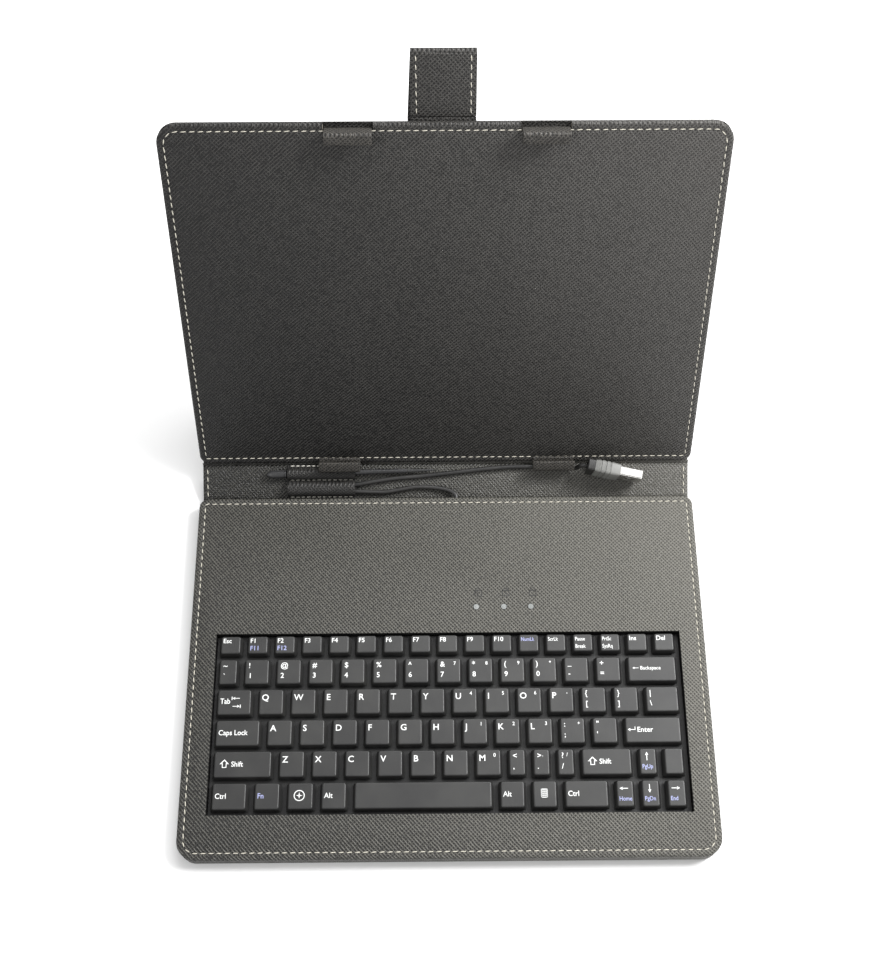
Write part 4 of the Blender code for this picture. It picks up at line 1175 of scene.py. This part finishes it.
def make_stylus():
    matrix = SPINE_FRAME @ Matrix.Translation(STYLUS_START) @ Matrix.Rotation(STYLUS_TURN, 4, "Z")
    for name, profile, mat, slot, node in (
        ("stylus_cap_piece", STYLUS_CAP, STYLUS_BLACK, "stylus_plastic", "stylus_cap"),
        ("stylus_barrel_piece", STYLUS_BARREL, STYLUS_BLACK, "stylus_plastic", "stylus_barrel"),
        ("stylus_tip_piece", STYLUS_TIP, STYLUS_PALE, "stylus_tip", "stylus_tip"),
    ):
        profile_m = [(a * MM, r * MM) for a, r in profile]
        keep(turned(name, profile_m, matrix), "stylus", mat, slot, node)


# Lid, hooks, strap and leg


HOOK_WIDTH = 22.4 * MM
HOOK_BEND = 1.3 * MM
TOP_HOOK_X = (-45.3 * MM, 46.9 * MM)
BOTTOM_HOOK_X = (-58.2 * MM, 59.0 * MM)


def make_lid():
    bm = panel_bmesh(BASE_X, LID_U, (-HINGE_DEPTH, LID_INNER), LID_RADII, 1.3 * MM, 0.25 * MM)
    skin = from_bmesh("lid_leather", bm, LID_FRAME)
    wall = LEATHER + 0.1 * MM
    inside = (LEATHER - HINGE_DEPTH, LID_INNER - 0.75 * MM)
    boxes = [(inset_range(BASE_X, wall), inset_range(LID_U, wall), inside)]
    half = HOOK_WIDTH / 2 + 0.5 * MM
    for x in TOP_HOOK_X:
        boxes.append(
            ((x - half, x + half), (LID_END - 4.2 * MM, LID_END + 5 * MM), (0.1 * MM, 20 * MM))
        )
    cut(skin, boxes, LID_FRAME)
    skin.data.set_sharp_from_angle(angle=math.radians(35))
    keep(skin, "lid", LEATHER_LID, "case_leather", "lid_outer_cover", "lid_liner")
    line = outline(BASE_X, LID_U, STITCH_INSET, LID_RADII)
    stitches("lid_stitches", [lift(line, LID_INNER - 0.1 * MM)], LID_FRAME, "lid")
    stitches("lid_back_stitches", [lift(line, -HINGE_DEPTH + 0.1 * MM)], LID_FRAME, "lid", -1.0)


def add_hook(node, body, x, points, thickness):
    """A strip of trim, bent through (y, z) points into a hook."""
    ends = (x - HOOK_WIDTH / 2, x + HOOK_WIDTH / 2)
    path = rounded_path(points, HOOK_BEND)
    strip = bent_strip(f"{node}_leather", path, ends, thickness, LID_FRAME, 0, 0.35 * MM)
    keep(strip, body, LEATHER_TRIM, "case_leather", node)


def make_hooks():
    outer, top = LID_START + 0.1 * MM, LID_INNER + 8.0 * MM
    low = LID_INNER + 0.7 * MM
    points = [(LID_START + 3.9 * MM, low), (outer, low), (outer, top), (LID_START + 6.1 * MM, top)]
    for side, x in zip(("left", "right"), BOTTOM_HOOK_X):
        add_hook(f"bottom_hook_{side}", "lid", x, points, 1.5 * MM)
    outer, top = LID_END - 3.0 * MM, LID_INNER + 5.5 * MM
    low = 1.05 * MM
    points = [(176 * MM, low), (outer, low), (outer, top), (LID_END - 8.0 * MM, top)]
    for side, x in zip(("left", "right"), TOP_HOOK_X):
        add_hook(f"top_hook_{side}", f"top_hook_{side}", x, points, 1.4 * MM)


STRAP_X = (-16 * MM, 14.5 * MM)
STRAP_BEND = LID_END + 1.15 * MM
STRAP_FOLD = LID_END + 31.3 * MM
STRAP_FRONT = -HINGE_DEPTH - GAP
STRAP_THICKNESS = 1.6 * MM
STRAP_BACK = STRAP_FRONT - STRAP_THICKNESS
STRAP_END_LENGTH = 44 * MM
STRAP_SKEW = math.radians(3)
STRAP_ANCHOR = 22 * MM
STRAP_CORNER = 12 * MM
STRAP_SQUARE = 0.6 * MM  # corners where the strap goes on
STRAP_EDGE = 0.4 * MM
STRAP_SEAM = 2.6 * MM
STRAP_STITCHES = (3.9 * MM, 2.9 * MM)
STUD_SIZE = (7 * MM, 7 * MM, 0.9 * MM, 1)
STUD_FROM_END = 14 * MM


def make_strap():
    levels = (STRAP_BACK, STRAP_FRONT)
    along = (LID_END - STRAP_ANCHOR, STRAP_BEND - GAP / 2)
    bm = panel_bmesh(STRAP_X, along, levels, (STRAP_CORNER, STRAP_SQUARE), STRAP_EDGE)
    anchor = from_bmesh("strap_anchor_leather", bm, LID_FRAME)
    keep(anchor, "lid", LEATHER_LID, "case_leather", "strap_anchor")
    along = (STRAP_BEND + GAP / 2, STRAP_FOLD - 0.2 * MM)
    bm = panel_bmesh(STRAP_X, along, levels, (STRAP_SQUARE, STRAP_SQUARE), STRAP_EDGE)
    root = from_bmesh("strap_root_leather", bm, LID_FRAME)
    keep(root, "strap", LEATHER_LID, "case_leather", "strap_root")
    along = (STRAP_BEND + MM, STRAP_FOLD - 0.5 * MM)
    for side, face, up in (
        ("front", STRAP_FRONT - 0.05 * MM, 1.0), ("back", STRAP_BACK + 0.05 * MM, -1.0)
    ):
        rows = [[Vector((x, u, face)) for u in along] for x in inset_range(STRAP_X, STRAP_SEAM)]
        stitches(f"strap_root_stitches_{side}", rows, LID_FRAME, "strap", up, *STRAP_STITCHES)

    fold = LID_FRAME @ Matrix.Translation((sum(STRAP_X) / 2, STRAP_FOLD, STRAP_BACK - 0.2 * MM))
    fold = fold @ Matrix.Rotation(-STRAP_SKEW, 4, "Z")
    half = (STRAP_X[1] - STRAP_X[0]) / 2
    across, along = (-half, half), (-STRAP_END_LENGTH, -0.9 * MM)
    under = -0.2 * MM
    levels = (under - STRAP_THICKNESS, under)
    bm = panel_bmesh(across, along, levels, (STRAP_CORNER, STRAP_SQUARE), STRAP_EDGE)
    end = from_bmesh("strap_end_leather", bm, fold)
    keep(end, "strap_tip", LEATHER_LID, "case_leather", "strap_end")
    line = lift(outline(across, along, STRAP_SEAM, (STRAP_CORNER, 3 * MM)), levels[0] + 0.05 * MM)
    stitches("strap_end_stitches", [line], fold, "strap_tip", -1.0, *STRAP_STITCHES)
    bm = bmesh.new()
    place = Matrix.Translation((0, STUD_FROM_END - STRAP_END_LENGTH, levels[0] + 0.15 * MM))
    matrix = place @ Matrix.Diagonal(STUD_SIZE)
    bmesh.ops.create_uvsphere(bm, u_segments=40, v_segments=16, radius=1.0, matrix=matrix)
    keep(from_bmesh("strap_press_stud", bm, fold, 80), "strap_tip", PLATED, "steel", "strap_magnet")

    radius = STRAP_THICKNESS + 0.2 * MM
    middle_y, middle_z = STRAP_FOLD - 0.5 * MM, STRAP_BACK - 0.1 * MM
    reach, rise = 0.9 * radius, 0.4836 * radius
    angles = [math.pi * n / 12 for n in range(13)]
    turn = [(middle_y + reach * math.sin(a), middle_z + rise * math.cos(a)) for a in angles]
    across = inset_range(STRAP_X, 0.1 * MM)
    bend = bent_strip("strap_bend_leather", turn, across, 1.2 * MM, LID_FRAME)
    bend.data.materials.append(LEATHER_LID)
    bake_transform(bend)


LEG_HINGE_U = 112 * MM
LEG_LENGTH = 110 * MM
LEG_THICKNESS = 3 * MM
LEG_HALF_WIDTHS = (48 * MM, 62 * MM)


def leg_spread(along):
    """How much wider the leg is at a distance from its hinge."""
    return 1 + (LEG_HALF_WIDTHS[1] / LEG_HALF_WIDTHS[0] - 1) * along / LEG_LENGTH


def make_leg():
    hinge = LID_FRAME @ Vector((0, LEG_HINGE_U, -HINGE_DEPTH - GAP))
    tilt = Matrix.Rotation(-math.asin(hinge.z / LEG_LENGTH), 4, "X")
    matrix = Matrix.Translation(hinge) @ tilt
    across, along = (-LEG_HALF_WIDTHS[0], LEG_HALF_WIDTHS[0]), (0, LEG_LENGTH)
    bm = panel_bmesh(across, along, (0, LEG_THICKNESS), (1 * MM, 0.5 * MM), 0.45 * MM)
    for v in bm.verts:
        v.co.x *= leg_spread(v.co.y)
    leg = from_bmesh("prop_leg_leather", bm, matrix)
    keep(leg, "prop_leg", LEATHER_TRIM, "case_leather", "prop_leg")
    line = outline(across, along, STITCH_INSET, (1 * MM, 1 * MM))
    for point in line:
        point.x *= leg_spread(point.y)
    stitches("prop_leg_stitches", [lift(line, LEG_THICKNESS - 0.1 * MM)], matrix, "prop_leg")


# CAD nodes that stay, with their looks


def dress_kept_nodes():
    looks = {
        BOARD: ("base_board", "spine_stiffener", "lid_board"),
        FOAM: ("base_spacer_frame",),
        TRAY_PLASTIC: ("keyboard_tray", "key_guide_frame"),
        FILM: ("membrane_sheet",),
        SILICONE: ("dome_sheet",),
        CIRCUIT: ("controller_board",),
        LENS_MILKY: ("indicator_light_guide",),
        PLATED: ("closure_plate",),
        CABLE_RUBBER: ("cable_strain_relief",),
        ELASTIC: ("hook_elastic_left", "hook_elastic_right"),
        LEATHER_SPINE: ("base_fold_strip", "lid_fold_strip"),
    }
    for mat, names in looks.items():
        for name in names:
            node = bpy.data.objects[name]
            for slot in node.material_slots:
                slot.material = mat


make_stage()
make_cable(make_plug())
make_base()
make_indicators()
make_keys()
make_spine()
make_fold_skins()
make_loops()
make_stylus()
make_lid()
make_hooks()
make_strap()
make_leg()
dress_kept_nodes()
